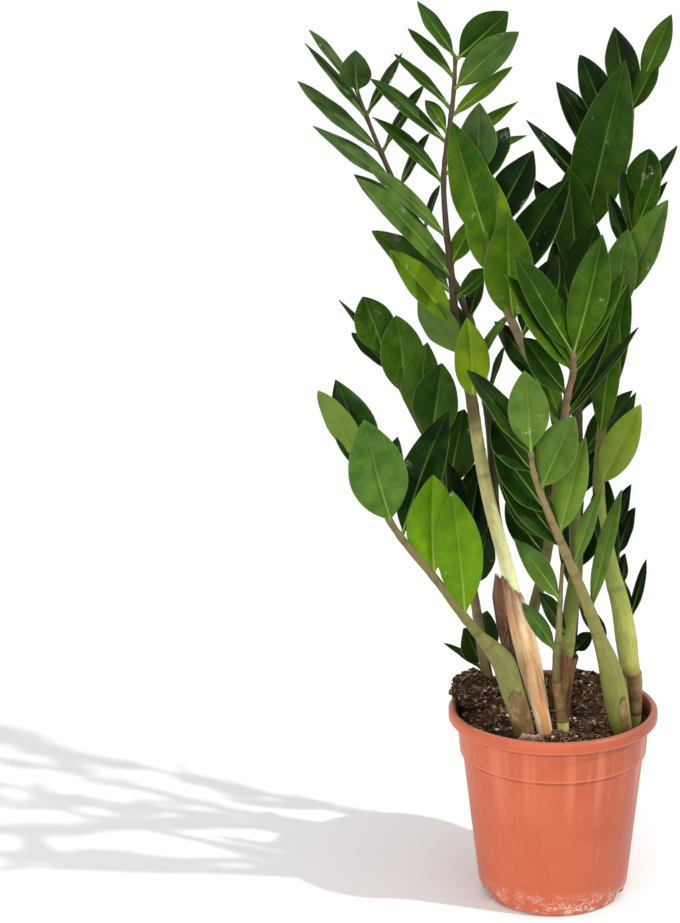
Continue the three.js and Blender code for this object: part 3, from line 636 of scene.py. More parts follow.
def leaflet_mesh(stalk, row, index, seed, painted_sheen):
    """One waxy blade: folded along its midrib, arched, twisted a little, wavy and thin at its margin."""
    root, along, across, normal, length = leaflet_frame(stalk, row, index, seed)
    foot_form, tip_form, folded, phase, waves, curled, twisted, bent, fold_shade_draw, gloss = (
        draw(index + BLADE_STREAM + 7 * k, seed) for k in range(10)
    )
    t, v = LENGTHWISE[:, None], CROSSWISE[None, :]

    # The outline, from the footstalk out to the tip.
    start = (stalk.radius(stalk.at_height(row[0]))[0] + FOOTSTALK) / length
    spread = np.clip((t - start) / (1 - start), 0, 1)
    low, high = 0.74 + 0.2 * foot_form, 0.8 + 0.22 * tip_form
    peak = low / (low + high)
    share = spread**low * (1 - spread) ** high / (peak**low * (1 - peak) ** high)
    neck = (1 - spread) ** 9
    half = np.sqrt((row[4] / 2 * share) ** 2 + (FOOTSTALK_HALF * neck) ** 2) + 0.12
    sideways = v * half

    # How far the blade's middle layer is lifted: by its arch, its curled tip, its fold and its waves.
    arch = ARCH * (LEAST_ARCH + draw(index + ARCH_STREAM, seed))
    fold = FOLD * (0.55 + 0.9 * folded)
    start_of_wave = 6.3 * phase + 2.4 * (v > 0)
    ripple = RIPPLE * half * np.sin(2 * math.pi * (1.4 + 1.4 * waves) * t + start_of_wave) * v**2
    curl = 0.05 * (curled - 0.35) * length * np.clip(t - 0.55, 0, 1) ** 2 / 0.2
    lift = 4 * arch * length * t * (1 - t) - curl
    lift = lift + half * (fold * np.abs(v) + CROWN * np.sin(math.pi * np.abs(v))) + ripple
    twist = math.radians(TWIST) * (twisted - 0.5) * 2 * (t - 0.35)
    lift = lift + sideways * np.sin(twist)
    sickle = SICKLE * length * (bent - 0.5) * 2 * np.sin(math.pi * t)
    middle = root + along * (t * length)[..., None] + across * (sickle + sideways * np.cos(twist))[..., None]

    # Its two faces, with the midrib sunk in one and standing out of the other.
    thick = BLADE_EDGE + (BLADE_MIDDLE - BLADE_EDGE) * (1 - np.abs(v) ** 3) + 1.3 * neck
    midrib = hump(sideways, 0, 0.85)
    groove = GROOVE * midrib * spread**0.5 * (1 - t) ** 0.4
    rib = RIB * midrib * (1 - t)
    upper = middle + normal * (lift + thick / 2 - groove)[..., None]
    under = middle + normal * (lift - thick / 2 - rib)[..., None]
    points = np.clip(np.concatenate([upper.reshape(-1, 3), under.reshape(-1, 3)]), BOX_LOW, BOX_HIGH)
    marks = {
        "blade_place": sheet_marks(*BLADE_GRID, t, v, UPPER_AND_UNDER),
        "blade_size": sheet_marks(*BLADE_GRID, t * length, sideways, fold_shade_draw),
        "blade_look": sheet_marks(*BLADE_GRID, row[6], gloss, painted_sheen),
    }
    return points, BLADE_FACES, marks


def leaflets_mesh(stalk, frond):
    blades = []
    for index, row in enumerate(frond["leaves"]):
        painted_sheen = MUCH_PAINTED_SHEEN if index in frond.get("painted_sheen", []) else LEAST_PAINTED_SHEEN
        blades.append(leaflet_mesh(stalk, row, index, frond["seed"], painted_sheen))
    return joined(blades)


# ---- Pot ----
def pot_profile():
    """The pot's outline from the middle of its base out, up its wall, over its rim and down inside."""
    top, rim = POT_HEIGHT, RIM_RADIUS
    collar_top = top - RIM_TALL
    foot, plate_edge = FOOT_RADIUS, PLATE_EDGE_RADIUS
    plate_inside = plate_edge - WALL
    wall_top = COLLAR_FOOT_RADIUS - STEP_IN
    seam_z = COLLAR_FOOT_Z - 1.6
    inner_top, inner_foot = COLLAR_TOP_RADIUS - WALL, COLLAR_FOOT_RADIUS - WALL
    base = [
        (0.01, 0), (PAD_RADIUS, 0), (PAD_RADIUS + 1.5, PLATE_Z), (foot - 2, PLATE_Z), (foot - 2.6, 0),
        (foot - 0.6, 0), (foot + 1.8, 1.6), (plate_edge, PLATE_Z),
    ]
    outside = [
        (wall_top, seam_z), (COLLAR_FOOT_RADIUS, COLLAR_FOOT_Z), (COLLAR_TOP_RADIUS, collar_top - 1),
        (rim - 1.4, collar_top), (rim, collar_top + 1.6), (rim, top - 2.6), (rim - 1.2, top - 0.7),
    ]
    inside = [
        (rim - 3, top), (rim - 5, top - 0.6), (inner_top + 2.4, top - 3.4), (inner_top, collar_top - 2),
        (inner_foot, COLLAR_FOOT_Z + 1), (wall_top - WALL, seam_z - 0.6), (plate_inside, PLATE_Z + 5),
        (plate_inside - 3, PLATE_Z + WALL), (PAD_RADIUS, PLATE_Z + WALL), (PAD_RADIUS - 2, WALL),
        (0.01, WALL),
    ]
    return base + outside + inside


def cut_notch(pot, degrees):
    """Cuts a drain notch into the pot's foot, at an angle round from the front."""
    width = 2 * FOOT_RADIUS * math.sin(math.radians(NOTCH_SPAN / 2))
    cutter = bmesh.new()
    bmesh.ops.create_cube(cutter, size=1.0)
    size = Matrix.Diagonal((width * MM, NOTCH_DEEP * MM, 2 * NOTCH_TALL * MM, 1.0))
    shift = Matrix.Translation((0, -FOOT_RADIUS * MM, 0))
    cutter.transform(Matrix.Rotation(math.radians(degrees), 4, "Z") @ shift @ size)
    mesh = bpy.data.meshes.new("notch")
    cutter.to_mesh(mesh)
    cutter.free()
    notch = bpy.data.objects.new("notch", mesh)
    bpy.context.scene.collection.objects.link(notch)
    cut = pot.modifiers.new("notch", "BOOLEAN")
    cut.object = notch
    cut.solver = "EXACT"
    apply_modifiers(pot)
    bpy.data.objects.remove(notch)
    bpy.data.meshes.remove(mesh)


def pot_shell(finish):
    """The moulded pot: a turned shell, with its drain notches cut and its edges rounded."""
    profile = np.array(pot_profile(), float)
    turns = round_turns(POT_SIDES)
    heights = np.repeat(profile[:, 1:], POT_SIDES, axis=1)
    points = np.stack([profile[:, :1] * np.cos(turns), profile[:, :1] * np.sin(turns), heights], axis=2)
    pot = make_piece("nursery_pot", finish, points.reshape(-1, 3), tube_faces(len(profile), POT_SIDES))
    for degrees in NOTCH_AT:
        cut_notch(pot, degrees)
    edges = pot.modifiers.new("edges", "BEVEL")
    edges.width = POT_EDGE * MM
    edges.segments = 3
    edges.limit_method = "ANGLE"
    edges.angle_limit = math.radians(24)
    apply_modifiers(pot)
    pot.data.polygons.foreach_set("use_smooth", [True] * len(pot.data.polygons))
    pot.data.set_sharp_from_angle(angle=math.radians(50))
    settle(pot, "pot_plastic", "pot")


# ---- Dry sheaths ----
SHEATHS = [
    dict(
        name="dry_sheath_tan", frond="frond_tall_left", top=262, foot=128, ragged=1.5, bulge=2.6,
        flare=0.8, high=math.pi, slant=9, seed=3.7, wrinkle=0.55, skin=0.9,
    ),
    dict(
        name="dry_sheath_torn", frond="frond_centre_bright", top=206, foot=146, ragged=2, bulge=0.6,
        flare=2.6, high=math.pi, slant=5, seed=8.1, wrinkle=0.6, skin=0.8,
    ),
]
SHEATH_CLEAR = 0.32  # between a stalk and its sheath
SHEATH_LEAST = 0.5  # the least thickness of a sheath
FLUSH_AT = math.radians(243)  # where round its stalk a sheath's flush is

# The flap's middle line from its foot up: [x, z, y, half its width].
FLAP = [
    [-27, 136, -26, 5], [-29, 172, -24, 6], [-32, 200, -22, 8], [-36, 222, -20, 9], [-40, 250, -17, 9],
    [-43, 272, -14, 3],
]
FLAP_TOP = 286
FLAP_THICK = 0.9

# A torn flake of sheath that leans on the rim in front: its foot, half its width, its height and its lean.
FLAKE = dict(x=-17.0, y=-75.0, z=153.5, half=10.5, tall=10.5, lean=2.6)

# Each husk is a papery scale left on a stalk:
# (stalk, top, foot, middle of it round the stalk and half its reach in degrees, ragged edge, seed).
HUSKS = [
    ("frond_front_left", 175, 126, -104, 70, 8, 1.0),
    ("frond_front_right", 170, 134, -122, 30, 6, 2.0),
    ("frond_tall_right", 188, 153, 60, 182, 3, 3.0),
    ("frond_small_front", 182, 146, -100, 150, 4, 4.0),
    ("frond_centre_bright", 196, 146, 60, 182, 3, 5.0),
    ("sprout_left", 182, 150, 60, 182, 3, 6.0),
    ("frond_small_right", 196, 150, 60, 182, 3, 7.0),
]
# A husk with a half reach over this goes right round its stalk, and one under it is thinned at its sides.
WRAPS_ROUND = 150


def fray(turn, seed, scale=2.4):
    """How ragged a torn edge is at an angle round a stalk, from about -1 to 1."""
    here = Vector((scale * math.cos(turn), scale * math.sin(turn), seed))
    return noise.noise(here) + 0.6 * noise.noise(here * 3.1) + 0.35 * noise.noise(here * 7.3)


def crumple(point, seed, long_scale=26.0, cross_scale=4.2):
    """The wrinkles of a dry skin, which run along the stalk."""
    here = Vector((point[0] / cross_scale, point[1] / cross_scale, point[2] / long_scale + seed))
    return noise.noise(here) + 0.45 * noise.noise(here * 2.3)


def sheath_mesh(row, steps=56, sides=72):
    """A papery sheath wrapped round a stalk: ragged at its top edge, wrinkled, and a little flared."""
    stalk = STALKS[row["frond"]]
    top, foot = stalk.at_height(row["top"]), stalk.at_height(row["foot"])
    share = np.linspace(0, 1, steps)
    shares = top + (foot - top) * share
    turns = round_turns(sides)
    wide = SHEATH + row["bulge"] * np.sin(math.pi * share**0.8) ** 2 + row["flare"] * (1 - share) ** 3
    outer = np.repeat((stalk.radius(shares) + wide)[:, None], sides, axis=1)
    inner = np.repeat((stalk.radius(shares) + SHEATH_CLEAR)[:, None], sides, axis=1)
    out = stalk.rings(shares, outer, turns)
    for i in range(steps):
        for k in range(sides):
            wrinkle = row["wrinkle"] * crumple(out[i, k], row["seed"])
            outer[i, k] += wrinkle * min(1.0, 0.5 + 2 * share[i]) - 0.15 * row["wrinkle"]
    outer = np.maximum(outer, inner + SHEATH_LEAST)
    out = stalk.rings(shares, outer, turns)
    into = stalk.rings(shares, np.maximum(inner, outer - row["skin"]), turns)
    centre = stalk.at(shares)
    for i in range(steps):
        fade = max(0.0, 1 - share[i] * 5) ** 1.5
        for k in range(sides):
            away = out[i, k] - centre[i]
            turn = math.atan2(away[1], away[0])
            rise = row["slant"] * math.cos(turn - row["high"]) + row["ragged"] * 1.6 * fray(turn, row["seed"])
            out[i, k, 2] += rise * fade
            into[i, k, 2] += rise * fade
    points = np.concatenate([out, into[::-1]]).reshape(-1, 3)
    near = np.arange(sides)
    far = near + (2 * steps - 1) * sides
    seam = np.stack([far, np.roll(far, -1), np.roll(near, -1), near], axis=1)
    faces = np.concatenate([grid_faces(2 * steps, sides, closed=True), seam])[:, ::-1]
    down = np.stack([share, share[::-1]])[..., None]
    return points, faces, {"dry_mark": sheet_marks(steps, sides, turns, down, 0)}


def flap_mesh(steps=70, columns=27):
    """The flap that came away from the tan sheath: one curved, wrinkled blade with a torn end."""
    rows = np.array([[*sight_point(x, z, y), half] for x, z, y, half in FLAP])
    place = np.linspace(0, len(FLAP) - 1, steps)
    kernel = np.array([1, 2, 3, 2, 1]) / 9
    smooth = []
    for k in range(4):
        straight = np.interp(place, np.arange(len(FLAP)), rows[:, k])
        smooth.append(np.convolve(np.pad(straight, 2, "edge"), kernel, "valid"))
    turns = np.linspace(-1, 1, columns)
    front, back = [], []
    for i, (x, y, z, half) in enumerate(zip(*smooth)):
        share = i / (steps - 1)
        for turn in turns:
            fold = 0.35 * math.sin(7 * turn + 3 * share)
            fold += 0.5 * noise.noise(Vector((3 * turn, 5 * share, 2.2)))
            edge = 1 + 0.10 * noise.noise(Vector((4.0 * share, math.copysign(1.7, turn), 0.3))) * abs(turn)
            torn = 5.5 * fray(turn * 1.4, 4.4) * max(0.0, share - 0.82) / 0.18
            px = x + half * turn * edge
            py = y + half * 0.7 * turn * turn + fold * (1 - 0.3 * abs(turn))
            pz = min(z + torn, FLAP_TOP)
            thick = FLAP_THICK / 2 * (1 - 0.5 * abs(turn) ** 3)
            front.append([px, py - thick, pz])
            back.append([px, py + thick, pz])
    marks = {"dry_mark": sheet_marks(steps, columns, turns, np.linspace(1, 0, steps)[:, None], 0)}
    return np.array(front + back), sheet_faces(steps, columns), marks


def flake_mesh(steps=14, columns=30):
    """The loose flake: a low crumpled arch with a ragged upper edge."""
    ups, sides = np.linspace(0, 1, steps), np.linspace(-1, 1, columns)
    front, back = [], []
    for up in ups:
        for side in sides:
            torn = 1 + 0.25 * noise.noise(Vector((4 * side, 0.7, 6.1)))
            tall = FLAKE["tall"] * (1 - side * side) ** 0.6 * torn + 0.4
            fold = 0.9 * noise.noise(Vector((3.3 * side, 2.2 * up, 8.8)))
            x = FLAKE["x"] + FLAKE["half"] * side
            y = FLAKE["y"] + FLAKE["lean"] * (1 - up) + 2.6 * side * side + fold
            z = FLAKE["z"] + 1.6 * side * side + tall * up
            front.append([x, y - 0.25, z])
            back.append([x, y + 0.25, z])
    marks = {"dry_mark": sheet_marks(steps, columns, 3 * sides, 1 - ups[:, None], 0)}
    return np.array(front + back), sheet_faces(steps, columns), marks


def husk_mesh(frond, top, foot, middle, reach, ragged, seed, steps=30, columns=41):
    """A thin papery patch that clings to a stalk, torn along its upper edge and its sides."""
    stalk = STALKS[frond]
    high, low = stalk.at_height(top), stalk.at_height(foot)
    sides = np.linspace(-1, 1, columns)
    turns = np.radians(middle + reach * sides)
    centre = math.radians(middle)
    shares = np.linspace(0, 1, steps)
    outer, inner = [], []
    for share in shares:
        narrow = 1 - 0.25 * (1 - share) ** 2
        for side, turn in zip(sides, turns):
            torn = ragged * (0.6 * fray(3 * side + seed, seed, 1.6) - 1.4 * abs(side) ** 3) * (1 - share) ** 2
            at = min(1.0, max(0.0, high + (low - high) * (share - torn / (top - foot))))
            bent = turn if reach > WRAPS_ROUND else centre + (turn - centre) * narrow
            lift = 0.42 + 0.22 * noise.noise(Vector((4 * side, 3 * share, seed)))
            if reach < WRAPS_ROUND:
                lift *= 0.25 + 0.75 * min(1.0, 6 * (1 - abs(side)))
            for face, off in ((outer, lift), (inner, -0.25)):
                radii = stalk.radius(at)[:, None] + off
                face.append(stalk.rings([at], radii, np.array([bent]))[0, 0])
    marks = {"dry_mark": sheet_marks(steps, columns, turns, shares[:, None], 0)}
    return np.array(outer + inner), sheet_faces(steps, columns)[:, ::-1], marks


# ---- Soil ----
CLUMP = dict(x=-65, y=20, radius=20, deep=1.2, height=17, z=163)  # it lies over the rim at the left
EDGE_DROP = 5  # how far the peat falls towards the pot's wall
HEAPS = [(-52, 38, 30, 15), (30, 60, 30, 19), (12, -62, 30, 6), (76, 12, 20, -14), (-22, 62, 26, 8)]
SOIL_REACH = 75.6
SPREAD = 75  # how far out loose bits lie
ON_CLUMP = 0.2  # the share of the places tried for them that are on the clump


def soil_height(x, y):
    """The heaped surface's height, as in the part. Each heap is (x, y, reach, rise)."""
    lumps = 1.1 * np.sin(x / 7 + 1) * np.cos(y / 9) + 0.7 * np.sin((x + y) / 4.3)
    edge = np.clip((np.hypot(x, y) - 60) / 16, 0, 1)
    height = SOIL_LEVEL + lumps - EDGE_DROP * edge * edge * (3 - 2 * edge)
    for heap_x, heap_y, reach, rise in HEAPS:
        height = height + rise * np.exp(-((x - heap_x) ** 2 + (y - heap_y) ** 2) / reach**2)
    return height


def peat_relief(x, y, z=0.0):
    """How far the crumbly peat stands out at a place."""
    return (
        1.7 * noise.noise(Vector((x / 8, y / 8, z / 8)))
        + 1.2 * noise.noise(Vector((x / 3.4, y / 3.4, z / 3.4 + 5)))
        + 0.8 * abs(noise.noise(Vector((x / 1.5, y / 1.5, z / 1.5 + 9))))
    )


def soil_mesh(rows=112, columns=320):
    """The peat: a heaped, crumbly surface on a plain body that fills the pot."""
    turns = round_turns(columns)
    reach = SOIL_REACH * np.linspace(0.004, 1, rows)
    x, y = reach[:, None] * np.cos(turns), reach[:, None] * np.sin(turns)
    z = soil_height(x, y)
    for i in range(rows):
        for k in range(columns):
            z[i, k] += peat_relief(x[i, k], y[i, k])
    plate_top = PLATE_Z + WALL + 0.6
    body = [(SOIL_REACH - 2.2, COLLAR_FOOT_Z), (PLATE_EDGE_RADIUS - WALL - 2, plate_top), (0.3, plate_top)]
    for radius, height in body:
        x = np.concatenate([x, radius * np.cos(turns)[None, :]])
        y = np.concatenate([y, radius * np.sin(turns)[None, :]])
        z = np.concatenate([z, np.full((1, columns), height)])
    points = np.stack([x, y, z], axis=2).reshape(-1, 3)
    return points, [face[::-1] for face in tube_faces(rows + len(body), columns)]


def clump_reach(z):
    """How far from the pot's middle the clump may reach at a height: to the wall, the lip or over the rim."""
    if z < 150:
        return 75.8
    if z < 160.9:
        return 75.8 + 3.6 * min(1, (z - 150) / 8)
    return 86


def clump_mesh():
    """The clump that overhangs the rim at the left."""
    ball, faces = ball_mesh(6)
    points = []
    for p in ball:
        rough = 1 + 0.07 * math.sin(9 * p.x + 2) * math.sin(8 * p.y) + 0.05 * math.sin(13 * p.z)
        here = Vector((
            CLUMP["x"] + p.x * CLUMP["radius"] * rough,
            CLUMP["y"] + p.y * CLUMP["radius"] * CLUMP["deep"] * rough,
            CLUMP["z"] + p.z * CLUMP["height"] * rough,
        ))
        here -= p * (1.6 - 1.3 * peat_relief(*here))
        far, most = math.hypot(here.x, here.y), clump_reach(here.z)
        if far > most:
            here.x, here.y = here.x * most / far, here.y * most / far
        points.append(here)
    return np.array(points), faces


def scatter_spots(clump, lot, count):
    """Places on the peat and on the clump, each with the way up there."""
    spots = []
    while len(spots) < count:
        if lot.random() < ON_CLUMP:
            # Not on the clump's underside, nor where it lies between the soil and the rim.
            place = clump[lot.integers(len(clump))]
            up = unit(place - np.array([CLUMP["x"], CLUMP["y"], CLUMP["z"] - 4]))
            if up[2] > -0.1 and (place[2] > 161 or math.hypot(place[0], place[1]) < 74):
                spots.append((place, up))
            continue
        far, turn = SPREAD * math.sqrt(lot.random()), 2 * math.pi * lot.random()
        x, y = far * math.cos(turn), far * math.sin(turn)
        z = float(soil_height(x, y)) + peat_relief(x, y)
        spots.append((np.array([x, y, z]), unit(np.array([0.25 * lot.normal(), 0.25 * lot.normal(), 1.0]))))
    return spots


def crumbs_mesh(clump, count=3600, smallest=0.35, largest=2.4, seed=5):
    """Loose crumbs of peat, bark and perlite: small lumps with uneven faces."""
    lot = np.random.default_rng(seed)
    ball, sides = ball_mesh(1)
    shape = np.array(ball)
    lumps = []
    for place, up in scatter_spots(clump, lot, count):
        size = smallest + (largest - smallest) * lot.random() ** 2.5
        stretch = size * np.array([1, 0.5 + 0.5 * lot.random(), 0.4 + 0.4 * lot.random()])
        turn = Matrix.Rotation(6.3 * lot.random(), 3, "Z") @ Matrix.Rotation(1.2 * lot.normal(), 3, "X")
        lump = shape * stretch * (0.75 + 0.5 * lot.random((len(shape), 1)))
        tone = np.tile([lot.random(), lot.random(), 0], (len(shape), 1))
        lumps.append((lump @ np.array(turn).T + place + up * size * 0.25, sides, {"crumb_mark": tone}))
    return joined(lumps)


def fibres_mesh(clump, count=2600, seed=6, shortest=2.5, longest=13.0, sides=4):
    """Root and coir fibres that lie over the peat in loose curves."""
    lot = np.random.default_rng(seed)
    turns = round_turns(sides)
    taper = np.array([0.6, 1, 1, 1, 0.5])
    steps = np.linspace(-0.5, 0.5, len(taper))[:, None]
    faces = [face[::-1] for face in tube_faces(len(taper), sides)]
    fibres = []
    for place, up in scatter_spots(clump, lot, count):
        length = shortest + (longest - shortest) * lot.random() ** 2
        radius = (0.12 + 0.2 * lot.random() ** 2) * taper[:, None, None]
        heading = 2 * math.pi * lot.random()
        across = unit(np.cross(up, [math.cos(heading), math.sin(heading), 0.1]))
        way = np.cross(across, up)
        curve, rise = lot.normal() * 0.35, 0.12 + 0.35 * lot.random()
        bow = rise * (0.25 - steps * steps)
        line = place + length * (way * steps + across * curve * steps * steps * 2 + up * bow)
        ring = across * np.cos(turns)[:, None] + up * np.sin(turns)[:, None]
        points = (line[:, None] + radius * ring).reshape(-1, 3)
        tone = np.tile([lot.random(), lot.random(), 0], (len(points), 1))
        fibres.append((points, faces, {"crumb_mark": tone}))
    return joined(fibres)


# ---- Finishes ----
class Nodes:
    """Short ways to place and join the nodes of one tree."""

    def __init__(self, tree):
        self.tree = tree

    def feed(self, socket, value):
        """Links a node's output to a socket, or sets the socket to a plain value."""
        if isinstance(value, bpy.types.NodeSocket):
            self.tree.links.new(value, socket)
        else:
            socket.default_value = value

    def add(self, kind, values=None, **settings):
        made = self.tree.nodes.new("ShaderNode" + kind)
        for key, value in settings.items():
            setattr(made, key, value)
        for key, value in (values or {}).items():
            self.feed(made.inputs[key], value)
        return made

    def maths(self, operation, a, b=0.0, c=0.0):
        return self.add("Math", {0: a, 1: b, 2: c}, operation=operation).outputs[0]

    def plus(self, total, *others):
        for other in others:
            total = self.maths("ADD", total, other)
        return total

    def minus(self, a, b):
        return self.maths("SUBTRACT", a, b)

    def times(self, product, *others):
        for other in others:
            product = self.maths("MULTIPLY", product, other)
        return product

    def span(self, value, low, high, to_low=0.0, to_high=1.0):
        """The value's place between low and high, carried over to another span and kept within it."""
        sockets = {"Value": value, "From Min": low, "From Max": high, "To Min": to_low, "To Max": to_high}
        return self.add("MapRange", sockets, clamp=True).outputs[0]

    def mix(self, share, a, b, blend="MIX"):
        made = self.add("Mix", {0: share, 6: a, 7: b}, data_type="RGBA", blend_type=blend)
        return made.outputs[2]

    def ramp(self, value, *stops):
        """Colours or greys at places from 0 to 1."""
        made = self.add("ValToRGB", {0: value})
        band = made.color_ramp.elements
        while len(band) < len(stops):
            band.new(0.5)
        for element, (place, colour) in zip(band, stops):
            element.position = place
            element.color = colour
        return made.outputs[0]

    def noise(self, scale, vector=None, detail=3.0, rough=0.55):
        values = {"Scale": scale, "Detail": detail, "Roughness": rough}
        if vector is not None:
            values["Vector"] = vector
        return self.add("TexNoise", values).outputs[0]

    def mark(self, name):
        """The three numbers of a mesh's mark."""
        made = self.add("Attribute", attribute_name=name)
        return self.add("SeparateXYZ", {0: made.outputs["Vector"]}).outputs

    def place(self):
        return self.add("TexCoord").outputs["Object"]

    def vector(self, x, y, z):
        return self.add("CombineXYZ", {0: x, 1: y, 2: z}).outputs[0]

    def effect(self, name, **values):
        """A shared effect's outputs, given the values of its sockets."""
        made = self.tree.nodes.new("ShaderNodeGroup")
        made.node_tree = bpy.data.node_groups[name]
        for key, value in values.items():
            self.feed(made.inputs[key], value)
        return made.outputs


def rgb(red, green, blue):
    """A screen colour as the light that it stands for."""
    return tuple((x / 255) ** 2.2 for x in (red, green, blue)) + (1.0,)


def new_effect(name, inputs, outputs):
    """An empty shared effect with its named sockets: its nodes, what it is given and what it puts out."""
    tree = bpy.data.node_groups.new(name, "ShaderNodeTree")
    for socket, value in inputs.items():
        made = tree.interface.new_socket(socket, in_out="INPUT", socket_type="NodeSocketFloat")
        made.default_value = value
    for socket in outputs:
        tree.interface.new_socket(socket, in_out="OUTPUT", socket_type="NodeSocketFloat")
    given = tree.nodes.new("NodeGroupInput").outputs
    result = tree.nodes.new("NodeGroupOutput").inputs
    return Nodes(tree), given, result


def coiled(n, given):
    """A place on a stalk's skin, with its way round closed, so that no seam shows there."""
    return n.vector(
        n.times(n.maths("COSINE", given["Around"]), given["Count"]),
        n.times(n.maths("SINE", given["Around"]), given["Count"]),
        n.maths("DIVIDE", given["Along"], given["Length"]),
    )


def make_effects():
    """The effects that more than one finish uses."""
    # Uneven colour, as in grown and moulded things: about 0, up to Depth either way.
    n, given, result = new_effect("mottling", {"Size": 0.01, "Depth": 0.2}, ["Value"])
    scale = n.maths("DIVIDE", 1.0, given["Size"])
    coarse = n.noise(scale, n.place(), detail=4.0, rough=0.62)
    n.feed(result["Value"], n.times(n.minus(coarse, 0.5), n.times(given["Depth"], 2.6)))

    # Streaks that run one way: a mask from 0 to 1 and the height that goes with it.
    sockets = {"Along": 0.0, "Around": 0.0, "Count": 10.0, "Length": 30.0}
    n, given, result = new_effect("streaks", sockets, ["Mask", "Height"])
    turned = coiled(n, given)
    broad = n.noise(1.0, turned, detail=3.0, rough=0.6)
    fine = n.noise(3.7, turned, detail=2.0, rough=0.6)
    n.feed(result["Mask"], n.span(broad, 0.38, 0.64))
    n.feed(result["Height"], n.maths("MULTIPLY_ADD", fine, 0.5, broad))

    # The net of fibres in a dry sheath: thin lines round long cells.
    sockets = {"Along": 0.0, "Around": 0.0, "Count": 5.0, "Length": 9.0}
    n, given, result = new_effect("fibre_net", sockets, ["Mask"])
    turned = coiled(n, given)
    cells = n.add("TexVoronoi", {"Vector": turned, "Scale": 1.0}, feature="DISTANCE_TO_EDGE")
    broken = n.times(n.noise(1.3, turned, detail=2.0), 0.2)
    n.feed(result["Mask"], n.span(n.plus(cells.outputs["Distance"], broken), 0.17, 0.25, 1.0, 0.0))

    # Dried drops and lime: rare white patches with a broken edge.
    n, given, result = new_effect("white_marks", {"Size": 0.02, "Amount": 0.3}, ["Mask"])
    scale = n.maths("DIVIDE", 1.0, given["Size"])
    patch = n.noise(scale, n.place(), detail=1.0)
    crust = n.noise(n.times(scale, 9.0), n.place(), detail=3.0, rough=0.7)
    limit = n.minus(0.86, n.times(given["Amount"], 0.4))
    here = n.span(patch, limit, n.plus(limit, 0.07))
    n.feed(result["Mask"], n.times(here, n.span(crust, 0.5, 0.62)))

    # A leaflet's midrib, side veins and thin margin.
    sockets = {"Along": 0.0, "Sideways": 0.0, "Share": 0.0, "Margin": 0.0, "Spacing": 4.6}
    n, given, result = new_effect("leaf_veins", sockets, ["Midrib", "Veins", "Margin", "Height"])
    off = n.maths("ABSOLUTE", given["Sideways"])
    fade = n.span(given["Share"], 0.0, 1.0, 1.0, 0.25)
    midrib = n.times(n.span(off, 0.25, 1.15, 1.0, 0.0), fade)
    wander = n.noise(220.0, n.place(), detail=2.0)
    lean = n.maths("MULTIPLY_ADD", off, -1.15, n.times(off, off, 0.018))
    line = n.plus(given["Along"], lean, n.times(wander, 2.2))
    beat = n.maths("ABSOLUTE", n.minus(n.maths("FRACT", n.maths("DIVIDE", line, given["Spacing"])), 0.5))
    veins = n.times(n.span(beat, 0.0, 0.16, 1.0, 0.0), n.span(off, 0.6, 2.5))
    n.feed(result["Midrib"], midrib)
    n.feed(result["Veins"], veins)
    n.feed(result["Margin"], n.span(n.maths("ABSOLUTE", given["Margin"]), 0.955, 0.99))
    n.feed(result["Height"], n.minus(n.times(veins, -0.5), midrib))


def new_finish(name):
    """An empty finish: its nodes and its shader."""
    finish = bpy.data.materials.new(name)
    finish.use_nodes = True
    n = Nodes(finish.node_tree)
    shader = finish.node_tree.nodes["Principled BSDF"]
    return finish, n, shader


def give_looks(n, shader, colour, rough, gloss, relief=None, strength=0.0, depth=0.0):
    """Gives the shader its colour, roughness and gloss, and a relief so strong and so many metres deep."""
    n.feed(shader.inputs["Base Color"], colour)
    n.feed(shader.inputs["Roughness"], rough)
    n.feed(shader.inputs["Specular IOR Level"], gloss)
    if relief is not None:
        bump = n.add("Bump", {"Height": relief, "Strength": strength, "Distance": depth})
        n.feed(shader.inputs["Normal"], bump.outputs[0])


